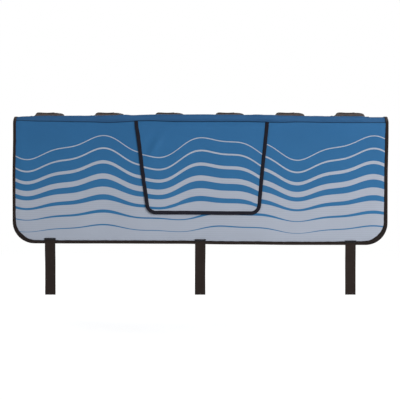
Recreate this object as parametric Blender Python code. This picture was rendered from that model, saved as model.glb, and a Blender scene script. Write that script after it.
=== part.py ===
"""Padded bike pad for a pickup truck's tailgate, with six down-tube cradles.

The pad hangs over the tailgate like an upside-down U. Its origin is the middle of the underside of the top,
where it sits on the tailgate's edge. +X runs along the tailgate, -Y points out behind the truck, where the
printed front panel hangs, +Y points into the truck bed, and +Z is up.

The pad is laid out flat first. There, u is the distance along the tailgate, and v is the distance along
the middle of the padding: 0 at the front seam, negative down the front panel, and positive over the top and
down the rear panel. t is the distance from the middle of the padding, positive on the outside. fold() bends
that layout over the tailgate.
"""

import math

import bmesh
import bpy
from mathutils import Vector, geometry

# Overall sizes, in metres
PAD_WIDTH = 1.560  # over the edge binding
FRONT_DROP = 0.534  # crest of the pad down to its bottom edge outside the truck
REAR_DROP = 0.243  # crest of the pad down to its bottom edge in the truck bed
FRONT_CORNER_RADIUS = 0.090
REAR_CORNER_RADIUS = 0.060

# The tailgate that the pad sits on
TAILGATE_THICKNESS = 0.078
TAILGATE_EDGE_RADIUS = 0.009

# Layers
FACE_THICKNESS = 0.0010
FOAM_THICKNESS = 0.0084
LINING_THICKNESS = 0.0010
FIT_GAP = 0.0003  # between pieces that touch
FOAM_MARGIN = 0.004  # foam stops this far inside the cloth's edge

# Binding tape, folded over an edge
TAPE_THICKNESS = 0.0010
EDGE_TAPE_ARM = 0.0125
FLAP_TAPE_ARM = 0.0140
WINDOW_TAPE_ARM = 0.0100

# Access flap and the window behind it
FLAP_TOP_WIDTH = 0.560  # over its binding
FLAP_BOTTOM_WIDTH = 0.472  # where the sides would meet the bottom edge
FLAP_DROP = 0.391  # front seam to the flap's bottom edge
FLAP_CENTRE = 0.003
FLAP_LEAN = 0.011  # the bottom edge is sewn this far off centre
FLAP_CORNER_RADIUS = 0.042
WINDOW_SIDE_MARGIN = 0.034  # inside the flap
WINDOW_TOP_MARGIN = 0.030
WINDOW_BOTTOM_MARGIN = 0.062
WINDOW_CORNER_RADIUS = 0.030

# Hook and loop patches that hold the flap shut
PATCH_WIDTH = 0.060
PATCH_HEIGHT = 0.022
PATCH_THICKNESS = 0.0006
PATCH_SPACING = 0.260
PATCH_INSET = 0.030  # flap's bottom edge up to the middle of the patches

# Webbing straps that go under the tailgate
STRAP_WIDTH = 0.0425
STRAP_THICKNESS = 0.0018
STRAP_MARGIN = 0.1555  # pad's end to the middle of the outer straps
STRAP_HANG = 0.2115  # below the pad's bottom edge
STRAP_OVERLAP = 0.0205  # sewn on above the bottom edge
STRAP_HEM = 0.008

# Ladder-lock buckles on the bed side, and the webbing loops that hold them
BUCKLE_WIDTH = 0.054
BUCKLE_THICKNESS = 0.0040
BUCKLE_BAR = 0.0050
BUCKLE_SLOT_WIDTH = 0.0450
LOOP_SLOT = 0.0046
STRAP_SLOT = 0.0060
STRAP_SLOT_COUNT = 2
PLASTIC_EDGE_RADIUS = 0.0010
BUCKLE_DROP = 0.010  # pad's bottom edge down to the buckle's top bar
LOOP_SEWN_LENGTH = 0.045

# Down-tube cradles on the top
CRADLE_COUNT = 6
CRADLE_MARGIN = 0.15375  # pad's end to the middle of the end cradles
CRADLE_LENGTH = 0.114  # along the tailgate
CRADLE_DEPTH = 0.058  # across the tailgate
CRADLE_HEIGHT = 0.0115
CRADLE_DIP = 0.0035
CRADLE_LEFT_RISE = 0.014
CRADLE_RIGHT_FALL = 0.034
CRADLE_END_ROUNDING = 0.012
CRADLE_EDGE_HEIGHT = 0.0020

# Down-tube straps, their rings and tabs
TUBE_STRAP_WIDTH = 0.038
TUBE_STRAP_THICKNESS = 0.0016
TUBE_STRAP_FOOT = 0.018
TUBE_STRAP_TAIL = 0.020  # the turned-back layer ends this far right of the cradle's middle
RING_BAR = 0.0040
RING_OPENING = 0.0075
RING_WALL = 0.0040
RING_CLEARANCE = 0.0006  # webbing turns round a bar this far from it
RING_SIDE_CLEARANCE = 0.0016
RING_TO_CRADLE = 0.0090  # ring's near bar to the cradle's end
TAB_LENGTH = 0.022
TAB_SLOPE = 40  # degrees, where the tab comes down from its ring

# Print on the front face and the flap: grey wave stripes on blue, wider from row to row until blue is left
# only in thin lines between them
STRIPE_ROWS = 8
STRIPE_PITCH = 0.052
FIRST_STRIPE = -0.113  # from the front seam
FIRST_GREY_SHARE = 0.08  # of the pitch
LAST_GREY_SHARE = 0.95
LEAST_SWELL = 0.013
MOST_SWELL = 0.056
LONG_WAVE = 0.560
SHORT_WAVE = 0.225
SHORT_WAVE_SHARE = 0.22
PRINT_STEP = 0.028  # spacing of the points along each line
FLAP_PRINT_SHIFT = 0.085  # the flap is cut from another place on the printed cloth

# Steps that round shapes are made of
BEND_STEPS = 6
CORNER_STEPS = 8
TURN_STEPS = 5
CRADLE_ROUND_STEPS = 4
CRADLE_GROOVE_STEPS = 8
SHARP_ANGLE = 50  # degrees; edges that turn by more stay sharp, or are bevelled on moulded pieces

# Worked out from the sizes above
CORE = FACE_THICKNESS + FOAM_THICKNESS + LINING_THICKNESS + 2 * FIT_GAP
HALF_GAP = TAILGATE_THICKNESS / 2
MID_RADIUS = TAILGATE_EDGE_RADIUS + CORE / 2
BEND_LENGTH = MID_RADIUS * math.pi / 2
TOP_FLAT = TAILGATE_THICKNESS - 2 * TAILGATE_EDGE_RADIUS
TOP_LENGTH = 2 * BEND_LENGTH + TOP_FLAT
TAPE_BUILD = FIT_GAP + TAPE_THICKNESS  # how far binding stands out from what it wraps
HALF_WIDTH = PAD_WIDTH / 2 - TAPE_BUILD
FRONT_LEG = FRONT_DROP - CORE - TAILGATE_EDGE_RADIUS - TAPE_BUILD
REAR_LEG = REAR_DROP - CORE - TAILGATE_EDGE_RADIUS - TAPE_BUILD

STRAP_SPACING = PAD_WIDTH / 2 - STRAP_MARGIN
CRADLE_PITCH = (PAD_WIDTH - 2 * CRADLE_MARGIN) / (CRADLE_COUNT - 1)

FACE_IN = CORE / 2 - FACE_THICKNESS
FOAM_OUT = FACE_IN - FIT_GAP
FOAM_IN = FOAM_OUT - FOAM_THICKNESS
LINING_OUT = FOAM_IN - FIT_GAP
LINING_IN = LINING_OUT - LINING_THICKNESS
TAPE_OUT = CORE / 2 + TAPE_BUILD

# The lining ends at the binding's inner arm, and lies flush with it
LINING_MARGIN = EDGE_TAPE_ARM + FIT_GAP
WINDOW_LINING_MARGIN = WINDOW_TAPE_ARM + FIT_GAP

# The flap's layers, as distances out from the front panel's middle
LOOP_PATCH_T = CORE / 2 + FIT_GAP
HOOK_PATCH_T = LOOP_PATCH_T + PATCH_THICKNESS + FIT_GAP
FLAP_LINING_T = max(HOOK_PATCH_T + PATCH_THICKNESS, TAPE_OUT) + FIT_GAP
FLAP_FACE_T = FLAP_LINING_T + LINING_THICKNESS + FIT_GAP
FLAP_OUT_T = FLAP_FACE_T + FACE_THICKNESS


def clear_scene():
    for obj in list(bpy.data.objects):
        bpy.data.objects.remove(obj, do_unlink=True)


def material(name, colour, roughness, metallic=0.0):
    made = bpy.data.materials.new(name)
    made.use_nodes = True
    shader = made.node_tree.nodes["Principled BSDF"]
    shader.inputs["Base Color"].default_value = (*colour, 1.0)
    shader.inputs["Roughness"].default_value = roughness
    shader.inputs["Metallic"].default_value = metallic
    made.diffuse_color = (*colour, 1.0)
    return made


def add_object(name, bm, materials):
    """Makes the object from a finished bmesh, with its faces pointing out."""
    bmesh.ops.recalc_face_normals(bm, faces=bm.faces[:])
    mesh = bpy.data.meshes.new(name)
    bm.to_mesh(mesh)
    bm.free()
    for one in materials:
        mesh.materials.append(one)
    obj = bpy.data.objects.new(name, mesh)
    bpy.context.scene.collection.objects.link(obj)
    return obj


def shade_round(obj):
    obj.data.shade_smooth()
    obj.data.set_sharp_from_angle(angle=math.radians(SHARP_ANGLE))


def fold(v, t):
    """The y and z of a point of the flat layout, once the pad hangs over the tailgate."""
    if v <= 0:
        return -(HALF_GAP + CORE / 2 + t), v - TAILGATE_EDGE_RADIUS
    radius = MID_RADIUS + t
    if v < BEND_LENGTH:
        angle = v / MID_RADIUS
        return -TOP_FLAT / 2 - radius * math.cos(angle), radius * math.sin(angle) - TAILGATE_EDGE_RADIUS
    if v <= BEND_LENGTH + TOP_FLAT:
        return v - BEND_LENGTH - TOP_FLAT / 2, CORE / 2 + t
    if v < TOP_LENGTH:
        angle = (v - BEND_LENGTH - TOP_FLAT) / MID_RADIUS
        return TOP_FLAT / 2 + radius * math.sin(angle), radius * math.cos(angle) - TAILGATE_EDGE_RADIUS
    return HALF_GAP + CORE / 2 + t, TOP_LENGTH - v - TAILGATE_EDGE_RADIUS


def place(u, v, t):
    return Vector((u, *fold(v, t)))


def bend_rows(start, end):
    """The v values that a sheet over the top needs, from start to end."""
    first = [BEND_LENGTH * i / BEND_STEPS for i in range(BEND_STEPS + 1)]
    second = [BEND_LENGTH + TOP_FLAT + step for step in first]
    return [start] + [v for v in first + second if start < v < end] + [end]


def arc(centre, radius, start, end, steps=CORNER_STEPS):
    """Points of an arc with their outward normals, as (u, v, normal u, normal v). Angles are in degrees."""
    points = []
    for i in range(steps + 1):
        angle = math.radians(start + (end - start) * i / steps)
        across, along = math.cos(angle), math.sin(angle)
        points.append((centre[0] + radius * across, centre[1] + radius * along, across, along))
    return points


def rounded_corner(corner, before, after, radius):
    """An arc that rounds the corner between two neighbouring corners of an anticlockwise outline."""
    corner, before, after = Vector(corner), Vector(before), Vector(after)
    back, ahead = (before - corner).normalized(), (after - corner).normalized()
    half = back.angle(ahead) / 2
    centre = corner + (back + ahead).normalized() * (radius / math.sin(half))
    start_normal = Vector((-back.y, back.x))
    if start_normal.dot(corner - centre) < 0:
        start_normal = -start_normal
    start = math.degrees(math.atan2(start_normal.y, start_normal.x))
    return arc(centre, radius, start, start + 180 - math.degrees(2 * half))


def fill(outlines):
    """A flat mesh filled between its edge, the first outline, and the holes in it."""
    bm = bmesh.new()
    for outline in outlines:
        verts = [bm.verts.new((u, v, 0.0)) for u, v in outline]
        for i, vert in enumerate(verts):
            bm.edges.new((verts[i - 1], vert))
    bmesh.ops.triangle_fill(bm, use_beauty=True, use_dissolve=False, edges=bm.edges[:])
    return bm


def thicken(bm, low, high, put=place):
    """Gives a flat mesh its thickness. put turns its two coordinates and a height into a place."""
    grown = bmesh.ops.extrude_face_region(bm, geom=bm.faces[:])
    raised = {v for v in grown["geom"] if isinstance(v, bmesh.types.BMVert)}
    for vert in bm.verts:
        vert.co = put(vert.co.x, vert.co.y, high if vert in raised else low)


def sheet(name, outlines, t_low, t_high, material_used):
    """A flat sheet of the layout between two offsets."""
    bm = fill(outlines)
    thicken(bm, t_low, t_high)
    return add_object(name, bm, [material_used])


def box_outline(middle, half, low, high):
    return [(middle - half, low), (middle + half, low), (middle + half, high), (middle - half, high)]


def inset_outline(path, distance):
    """The outline of a path with normals, moved in by a distance."""
    return [(u - distance * nu, v - distance * nv) for u, v, nu, nv in path]


def loft(rings, closed):
    """Joins rings of points, each a closed section, one after another. An open loft gets flat ends."""
    bm = bmesh.new()
    made = [[bm.verts.new(point) for point in ring] for ring in rings]
    pairs = list(zip(made, made[1:] + made[:1])) if closed else list(zip(made, made[1:]))
    for one, two in pairs:
        for i in range(len(one)):
            bm.faces.new((one[i - 1], one[i], two[i], two[i - 1]))
    if not closed:
        bm.faces.new(made[0])
        bm.faces.new(made[-1])
    return bm


def binding(name, path, t_low, t_high, arm, material_used, closed):
    """Tape folded over an edge, round the layers between two offsets.

    path holds (u, v, normal u, normal v) along the edge that it wraps.
    """
    section = [
        (-arm, t_high + FIT_GAP), (-arm, t_high + TAPE_BUILD),
        (TAPE_BUILD, t_high + TAPE_BUILD), (TAPE_BUILD, t_low - TAPE_BUILD),
        (-arm, t_low - TAPE_BUILD), (-arm, t_low - FIT_GAP),
        (FIT_GAP, t_low - FIT_GAP), (FIT_GAP, t_high + FIT_GAP),
    ]
    rings = [[place(u + out * nu, v + out * nv, t) for out, t in section] for u, v, nu, nv in path]
    return add_object(name, loft(rings, closed), [material_used])


def side_normals(points):
    """For each point of an open line, the sideways vector that keeps a ribbon's thickness in its turns."""
    normals = []
    for i, point in enumerate(points):
        before = (point - points[i - 1]).normalized() if i else None
        after = (points[i + 1] - point).normalized() if i + 1 < len(points) else None
        one = before or after
        two = after or before
        middle = (one + two).normalized()
        normal = Vector((-middle.y, middle.x))
        normals.append(normal / max(normal.dot(Vector((-one.y, one.x))), 0.5))
    return normals


def offset_line(points, distance):
    """An open line moved to its left by a distance."""
    return [p + n * distance for p, n in zip(points, side_normals(points))]


def strip(name, line, low, high, along_x, material_used):
    """A long thin solid. line runs out along one side and back along the other, in (y, z) or (x, z)."""
    bm = bmesh.new()
    ends = []
    for side in (low, high):
        ends.append([bm.verts.new((side, p.x, p.y) if along_x else (p.x, side, p.y)) for p in line])
    total = len(line)
    for i in range(total):
        bm.faces.new((ends[0][i - 1], ends[0][i], ends[1][i], ends[1][i - 1]))
    for end in ends:
        for i in range(total // 2 - 1):
            bm.faces.new((end[i], end[i + 1], end[total - 2 - i], end[total - 1 - i]))
    return add_object(name, bm, [material_used])


def ribbon(name, points, thickness, width, middle, along_x, material_used):
    """Webbing that follows a line, (y, z) if it is as wide as it is along X, or else (x, z)."""
    line = offset_line(points, thickness / 2) + offset_line(points, -thickness / 2)[::-1]
    return strip(name, line, middle - width / 2, middle + width / 2, along_x, material_used)


def turn(centre, radius, start, end, steps=TURN_STEPS):
    """Points of a round turn in a webbing's line. Angles are in degrees."""
    points = []
    for i in range(steps + 1):
        angle = math.radians(start + (end - start) * i / steps)
        points.append(centre + radius * Vector((math.cos(angle), math.sin(angle))))
    return points


def wave(u):
    """Shape of the printed waves, between -1 and 1."""
    long_part = math.sin(2 * math.pi * u / LONG_WAVE)
    short_part = math.sin(2 * math.pi * u / SHORT_WAVE)
    return (1 - SHORT_WAVE_SHARE) * long_part + SHORT_WAVE_SHARE * short_part


def print_edges(u):
    """Heights, from the front seam, where the printed colour changes, from the top down."""
    edges = []
    for row in range(STRIPE_ROWS):
        way_down = row / (STRIPE_ROWS - 1)
        eased = way_down * way_down * (3 - 2 * way_down)
        share = FIRST_GREY_SHARE + (LAST_GREY_SHARE - FIRST_GREY_SHARE) * eased
        swell = LEAST_SWELL + (MOST_SWELL - LEAST_SWELL) * (1 - share)
        middle = FIRST_STRIPE - row * STRIPE_PITCH + swell * wave(u)
        edges += [middle + share * STRIPE_PITCH / 2, middle - share * STRIPE_PITCH / 2]
    return edges[:-1]  # the last stripe runs on to the bottom


def is_grey(u, v):
    """The colour turns over at each edge, and starts blue at the seam."""
    return sum(v < edge for edge in print_edges(u)) % 2 == 1


def inside(point, outline):
    """True if a point lies inside a closed outline."""
    u, v = point
    crossed = False
    for i, (u2, v2) in enumerate(outline):
        u1, v1 = outline[i - 1]
        if (v1 > v) != (v2 > v) and u < u1 + (v - v1) * (u2 - u1) / (v2 - v1):
            crossed = not crossed
    return crossed


def printed_sheet(name, outlines, t_low, t_high, shift, materials):
    """A flat sheet whose faces follow the printed lines, so that each field of colour is its own faces."""
    points, edges = [], []
    for outline in outlines:
        first = len(points)
        points += [Vector(p) for p in outline]
        edges += [(first + i, first + (i + 1) % len(outline)) for i in range(len(outline))]
    low = min(u for u, v in outlines[0])
    high = max(u for u, v in outlines[0])
    steps = math.ceil((high - low) / PRINT_STEP)
    columns = [low + (high - low) * i / steps for i in range(steps + 1)]
    for k in range(len(print_edges(0.0))):
        first = len(points)
        points += [Vector((u, print_edges(u + shift)[k])) for u in columns]
        edges += [(first + i, first + i + 1) for i in range(steps)]
    verts, _, faces, _, _, _ = geometry.delaunay_2d_cdt(points, edges, [], 0, 1e-6)
    bm = bmesh.new()
    made = [bm.verts.new((co.x, co.y, 0.0)) for co in verts]
    for face in faces:
        middle = sum((verts[i] for i in face), Vector((0.0, 0.0))) / len(face)
        if inside(middle, outlines[0]) and not any(inside(middle, hole) for hole in outlines[1:]):
            new = bm.faces.new([made[i] for i in face])
            new.material_index = int(is_grey(middle.x + shift, middle.y))
    bmesh.ops.delete(bm, geom=[v for v in bm.verts if not v.link_faces], context="VERTS")
    thicken(bm, t_low, t_high)
    return add_object(name, bm, materials)


def perimeter():
    """The cloth's edge all round the flat layout, anticlockwise from the front panel's lower right."""
    low, high = -FRONT_LEG, TOP_LENGTH + REAR_LEG
    front, rear = FRONT_CORNER_RADIUS, REAR_CORNER_RADIUS
    rows = bend_rows(0.0, TOP_LENGTH)
    path = arc((HALF_WIDTH - front, low + front), front, -90, 0)
    path += [(HALF_WIDTH, v, 1.0, 0.0) for v in rows]
    path += arc((HALF_WIDTH - rear, high - rear), rear, 0, 90)
    path += arc((-HALF_WIDTH + rear, high - rear), rear, 90, 180)
    path += [(-HALF_WIDTH, v, -1.0, 0.0) for v in reversed(rows)]
    path += arc((-HALF_WIDTH + front, low + front), front, 180, 270)
    return path


def front_outline(margin):
    """The front panel's edge, a margin inside the cloth's edge, up to the front seam."""
    half, low, radius = HALF_WIDTH - margin, -FRONT_LEG + margin, FRONT_CORNER_RADIUS - margin
    top = -FIT_GAP / 2
    right = [(u, v) for u, v, _, _ in arc((half - radius, low + radius), radius, -90, 0)]
    left = [(u, v) for u, v, _, _ in arc((-half + radius, low + radius), radius, 180, 270)]
    return right + [(half, top), (-half, top)] + left


def rear_outline(margin):
    """The rear panel's edge, a margin inside the cloth's edge, down from the rear seam."""
    half, radius = HALF_WIDTH - margin, REAR_CORNER_RADIUS - margin
    high, low = TOP_LENGTH + REAR_LEG - margin, TOP_LENGTH + FIT_GAP / 2
    right = [(u, v) for u, v, _, _ in arc((half - radius, high - radius), radius, 0, 90)]
    left = [(u, v) for u, v, _, _ in arc((-half + radius, high - radius), radius, 90, 180)]
    return [(half, low)] + right + left + [(-half, low)]


def flap_corners(side_margin, top_margin, bottom_margin):
    """The flap's four corners, each margin inside its cloth's edge, anticlockwise from the lower left."""
    drop = FLAP_DROP - TAPE_BUILD
    slope = (FLAP_TOP_WIDTH - FLAP_BOTTOM_WIDTH) / 2 / FLAP_DROP
    corners = []
    for side, is_low in ((-1, True), (1, True), (1, False), (-1, False)):
        depth = drop - bottom_margin if is_low else top_margin
        half = FLAP_TOP_WIDTH / 2 - TAPE_BUILD - side_margin - slope * depth
        centre = FLAP_CENTRE + FLAP_LEAN * depth / FLAP_DROP
        corners.append((centre + side * half, -depth))
    return corners


def flap_path():
    """The flap's two sides and bottom, with outward normals, from the upper left to the upper right."""
    low_left, low_right, up_right, up_left = flap_corners(0.0, FIT_GAP, 0.0)
    left = rounded_corner(low_left, up_left, low_right, FLAP_CORNER_RADIUS)
    right = rounded_corner(low_right, low_left, up_right, FLAP_CORNER_RADIUS)
    start = (*up_left, *left[0][2:])
    end = (*up_right, *right[-1][2:])
    return [start] + left + right + [end]


def window_path():
    """The window's edge, with normals that point into the opening, anticlockwise."""
    margins = (WINDOW_SIDE_MARGIN, WINDOW_TOP_MARGIN, WINDOW_BOTTOM_MARGIN)
    corners = flap_corners(*margins)
    path = []
    for i, corner in enumerate(corners):
        path += rounded_corner(corner, corners[i - 1], corners[(i + 1) % 4], WINDOW_CORNER_RADIUS)
    return [(u, v, -nu, -nv) for u, v, nu, nv in path]


def build_front_panel(used):
    window = window_path()
    hole = [(u, v) for u, v, _, _ in window]
    outlines = [front_outline(0.0), hole]
    colours = [used["print_blue"], used["print_grey"]]
    printed_sheet("front_face", outlines, FACE_IN, CORE / 2, 0.0, colours)
    foam_edges = [front_outline(FOAM_MARGIN), inset_outline(window, FOAM_MARGIN)]
    sheet("front_foam", foam_edges, FOAM_IN, FOAM_OUT, used["foam"])
    lining_edges = [front_outline(LINING_MARGIN), inset_outline(window, WINDOW_LINING_MARGIN)]
    sheet("front_lining", lining_edges, LINING_IN, LINING_OUT, used["lining"])
    binding("window_binding", window, FOAM_IN, CORE / 2, WINDOW_TAPE_ARM, used["tape"], True)


def bent_sheet(name, half, t_low, t_high, material_used):
    """A sheet over the top of the tailgate, from the front seam to the rear seam."""
    rows = bend_rows(FIT_GAP / 2, TOP_LENGTH - FIT_GAP / 2)
    line = [Vector(fold(v, t_high)) for v in rows] + [Vector(fold(v, t_low)) for v in reversed(rows)]
    shade_round(strip(name, line, -half, half, True, material_used))


def build_top_panel(used):
    bent_sheet("top_face", HALF_WIDTH, FACE_IN, CORE / 2, used["plain_blue"])
    bent_sheet("top_foam", HALF_WIDTH - FOAM_MARGIN, FOAM_IN, FOAM_OUT, used["foam"])
    bent_sheet("top_lining", HALF_WIDTH - LINING_MARGIN, LINING_IN, LINING_OUT, used["lining"])


def build_rear_panel(used):
    sheet("rear_face", [rear_outline(0.0)], FACE_IN, CORE / 2, used["rear_cloth"])
    sheet("rear_foam", [rear_outline(FOAM_MARGIN)], FOAM_IN, FOAM_OUT, used["foam"])
    sheet("rear_lining", [rear_outline(LINING_MARGIN)], LINING_IN, LINING_OUT, used["lining"])


def build_flap(used):
    path = flap_path()
    outline = [(u, v) for u, v, _, _ in path]
    colours = [used["print_blue"], used["print_grey"]]
    lining_out = FLAP_LINING_T + LINING_THICKNESS
    printed_sheet("flap_face", [outline], FLAP_FACE_T, FLAP_OUT_T, FLAP_PRINT_SHIFT, colours)
    sheet("flap_lining", [outline], FLAP_LINING_T, lining_out, used["lining"])
    layers = FLAP_LINING_T, FLAP_OUT_T
    binding("flap_binding", path, *layers, FLAP_TAPE_ARM, used["flap_tape"], False)


def build_patches(used):
    """The loop patches lie on the front face, below the window, and the hook patches face them."""
    height = -FLAP_DROP + PATCH_INSET
    centre = FLAP_CENTRE + FLAP_LEAN
    low, high = height - PATCH_HEIGHT / 2, height + PATCH_HEIGHT / 2
    for side, label in ((-1, "left"), (1, "right")):
        outline = box_outline(centre + side * PATCH_SPACING / 2, PATCH_WIDTH / 2, low, high)
        for kind, start in (("loop", LOOP_PATCH_T), ("hook", FLAP_LINING_T - FIT_GAP - PATCH_THICKNESS)):
            sheet(f"{kind}_patch_{label}", [outline], start, start + PATCH_THICKNESS, used["hook_tape"])


def strap_places():
    return (("left", -STRAP_SPACING), ("centre", 0.0), ("right", STRAP_SPACING))


def build_hanging_straps(used):
    """Each strap is sewn on over the binding at the front's bottom edge. Its end is folded up behind."""
    outer = -(HALF_GAP + CORE / 2 + TAPE_OUT + FIT_GAP + STRAP_THICKNESS / 2)
    bottom = CORE - FRONT_DROP
    turn_radius = (STRAP_THICKNESS + FIT_GAP) / 2
    low = bottom - STRAP_HANG + turn_radius + STRAP_THICKNESS / 2
    line = [Vector((outer, bottom + STRAP_OVERLAP))]
    line += turn(Vector((outer + turn_radius, low)), turn_radius, 180, 360)
    line.append(Vector((outer + 2 * turn_radius, low + STRAP_HEM)))
    for label, u in strap_places():
        name = f"hanging_strap_{label}"
        ribbon(name, line, STRAP_THICKNESS, STRAP_WIDTH, u, True, used["webbing"])


def buckle_outlines(middle, top):
    """The buckle's edge and its slots in x and z: one slot for its loop, the others for the strap."""
    slots = []
    edge = top - BUCKLE_BAR
    for size in [LOOP_SLOT] + [STRAP_SLOT] * STRAP_SLOT_COUNT:
        slots.append(box_outline(middle, BUCKLE_SLOT_WIDTH / 2, edge - size, edge))
        edge -= size + BUCKLE_BAR
    return [box_outline(middle, BUCKLE_WIDTH / 2, edge, top)] + slots


def build_buckle(name, x, y, top, used):
    bm = fill(buckle_outlines(x, top))
    half = BUCKLE_THICKNESS / 2
    thicken(bm, y - half, y + half, lambda across, up, depth: Vector((across, depth, up)))
    soften(add_object(name, bm, [used["plastic"]]), PLASTIC_EDGE_RADIUS)


def build_buckles(used):
    """A buckle hangs below the rear panel's bottom edge, its top bar held in a folded loop of webbing."""
    inner = HALF_GAP + CORE / 2 + TAPE_OUT + FIT_GAP + STRAP_THICKNESS / 2
    outer = inner + STRAP_THICKNESS + FIT_GAP
    bottom = CORE - REAR_DROP
    bar = Vector(((inner + outer) / 2, bottom - BUCKLE_DROP))
    radius = max(BUCKLE_BAR, BUCKLE_THICKNESS) / 2 + FIT_GAP + STRAP_THICKNESS / 2
    spread = bar.y + 2 * radius
    sewn_top = bottom + LOOP_SEWN_LENGTH
    line = [Vector((inner, sewn_top)), Vector((inner, spread))]
    line += turn(bar, radius, 180, 360)
    line += [Vector((outer, spread)), Vector((outer, sewn_top))]
    for label, u in strap_places():
        ribbon(f"buckle_loop_{label}", line, STRAP_THICKNESS, STRAP_WIDTH, u, True, used["webbing"])
        build_buckle(f"buckle_{label}", u, bar.x, bar.y + BUCKLE_BAR / 2, used)


def soften(obj, width):
    """Rounds an object's sharp edges with a bevel."""
    bevel = obj.modifiers.new("rounded_edges", "BEVEL")
    bevel.width = width
    bevel.segments = 1
    bevel.limit_method = "ANGLE"
    bevel.angle_limit = math.radians(SHARP_ANGLE)


def cradle_height(x):
    """Height of the cradle's cross-section, x from its middle. It rises steeply at the left."""
    left, right = -CRADLE_LENGTH / 2, CRADLE_LENGTH / 2
    if x < left + CRADLE_LEFT_RISE:
        share = (left + CRADLE_LEFT_RISE - x) / CRADLE_LEFT_RISE
    elif x > right - CRADLE_RIGHT_FALL:
        share = (x - right + CRADLE_RIGHT_FALL) / CRADLE_RIGHT_FALL
    else:
        middle = (left + CRADLE_LEFT_RISE + right - CRADLE_RIGHT_FALL) / 2
        half = middle - left - CRADLE_LEFT_RISE
        return CRADLE_HEIGHT - CRADLE_DIP * math.cos(math.pi * (x - middle) / 2 / half) ** 2
    rise = CRADLE_HEIGHT - CRADLE_EDGE_HEIGHT
    return CRADLE_EDGE_HEIGHT + rise * math.sqrt(max(1 - share**2, 0.0))


def quarter_turn():
    return [math.pi / 2 * i / CRADLE_ROUND_STEPS for i in range(CRADLE_ROUND_STEPS + 1)]


def cradle_stations():
    """x values across a cradle, closer together at its rounded ends."""
    left, right = -CRADLE_LENGTH / 2, CRADLE_LENGTH / 2
    turns = [math.cos(angle) for angle in quarter_turn()[:-1]]
    rise = [left + CRADLE_LEFT_RISE * (1 - c) for c in turns]
    fall = [right - CRADLE_RIGHT_FALL * (1 - c) for c in turns]
    inner_left, inner_right = left + CRADLE_LEFT_RISE, right - CRADLE_RIGHT_FALL
    groove = inner_right - inner_left
    flat = [inner_left + groove * i / CRADLE_GROOVE_STEPS for i in range(CRADLE_GROOVE_STEPS + 1)]
    return rise + flat + fall[::-1]


def build_cradle(name, x, used):
    """A moulded cushion with a shallow groove for the tube, on the flat of the top."""
    base = CORE + FIT_GAP
    half = CRADLE_DEPTH / 2
    flat = half - CRADLE_END_ROUNDING
    rows = []
    for angle in quarter_turn():
        rows.append((-flat - CRADLE_END_ROUNDING * math.cos(angle), math.sin(angle)))
    rows += [(-y, share) for y, share in reversed(rows)]
    stations = cradle_stations()
    rings = []
    for y, share in rows:
        top = []
        for sx in stations:
            height = CRADLE_EDGE_HEIGHT + (cradle_height(sx) - CRADLE_EDGE_HEIGHT) * share
            top.append(Vector((x + sx, y, base + height)))
        bottom = [Vector((x + stations[-1], y, base)), Vector((x + stations[0], y, base))]
        rings.append(top + bottom)
    shade_round(add_object(name, loft(rings, False), [used["cradle"]]))


def tube_strap_line():
    """The strap's line in x and z over one cradle, from the foot at the right to the turned-back tail."""
    base = CORE + FIT_GAP
    half = TUBE_STRAP_THICKNESS / 2
    left, right = -CRADLE_LENGTH / 2, CRADLE_LENGTH / 2
    over = [Vector((x, base + cradle_height(x))) for x in cradle_stations()]
    lower = offset_line(over, FIT_GAP + half)
    floor = base + half
    ring_x = left - RING_TO_CRADLE
    radius = RING_BAR / 2 + RING_CLEARANCE + half
    ring = Vector((ring_x, floor + radius))
    foot_start = right + FIT_GAP + TUBE_STRAP_THICKNESS
    line = [Vector((foot_start + TUBE_STRAP_FOOT, floor)), Vector((foot_start, floor))]
    line += lower[::-1]
    line.append(Vector((lower[0].x, floor)))
    line += turn(ring, radius, 270, 90)
    upper = offset_line(over, FIT_GAP + half + TUBE_STRAP_THICKNESS + FIT_GAP)
    line += [p for p in upper if p.x < TUBE_STRAP_TAIL and p.y > ring.y + radius]
    return line, ring


def build_tube_strap(label, x, used):
    line, ring = tube_strap_line()
    moved = [p + Vector((x, 0.0)) for p in line]
    size = TUBE_STRAP_THICKNESS, TUBE_STRAP_WIDTH
    ribbon(f"tube_strap_{label}", moved, *size, 0.0, False, used["webbing"])
    near = ring + Vector((x, 0.0))
    far = near - Vector((RING_OPENING + RING_BAR, 0.0))
    build_ring(f"tube_ring_{label}", near, far, used)
    half = TUBE_STRAP_THICKNESS / 2
    radius = RING_BAR / 2 + RING_CLEARANCE + half
    floor = CORE + FIT_GAP + half
    upper = floor + TUBE_STRAP_THICKNESS + FIT_GAP
    foot = far.x - radius - TAB_LENGTH
    tab = [Vector((foot, floor))]
    tab += turn(far, radius, 270, 450 + TAB_SLOPE)
    down = (tab[-1].y - upper) / math.tan(math.radians(TAB_SLOPE))
    tab += [Vector((tab[-1].x - down, upper)), Vector((foot, upper))]
    ribbon(f"ring_tab_{label}", tab, *size, 0.0, False, used["webbing"])


def build_ring(name, near, far, used):
    """A rectangular ring that lies flat, with a bar each side of its opening."""
    middle, half_x = (near.x + far.x) / 2, (near.x - far.x) / 2
    inner_y = TUBE_STRAP_WIDTH / 2 + RING_SIDE_CLEARANCE
    outer_y = inner_y + RING_WALL
    half = RING_BAR / 2
    outlines = [
        box_outline(middle, half_x + half, -outer_y, outer_y),
        box_outline(middle, half_x - half, -inner_y, inner_y),
    ]
    bm = fill(outlines)
    thicken(bm, near.y - half, near.y + half, lambda x, y, z: Vector((x, y, z)))
    soften(add_object(name, bm, [used["plastic"]]), PLASTIC_EDGE_RADIUS)


def build_cradles(used):
    first = -CRADLE_PITCH * (CRADLE_COUNT - 1) / 2
    for i in range(CRADLE_COUNT):
        x = first + i * CRADLE_PITCH
        build_cradle(f"tube_cradle_{i + 1}", x, used)
        build_tube_strap(str(i + 1), x, used)


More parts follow.
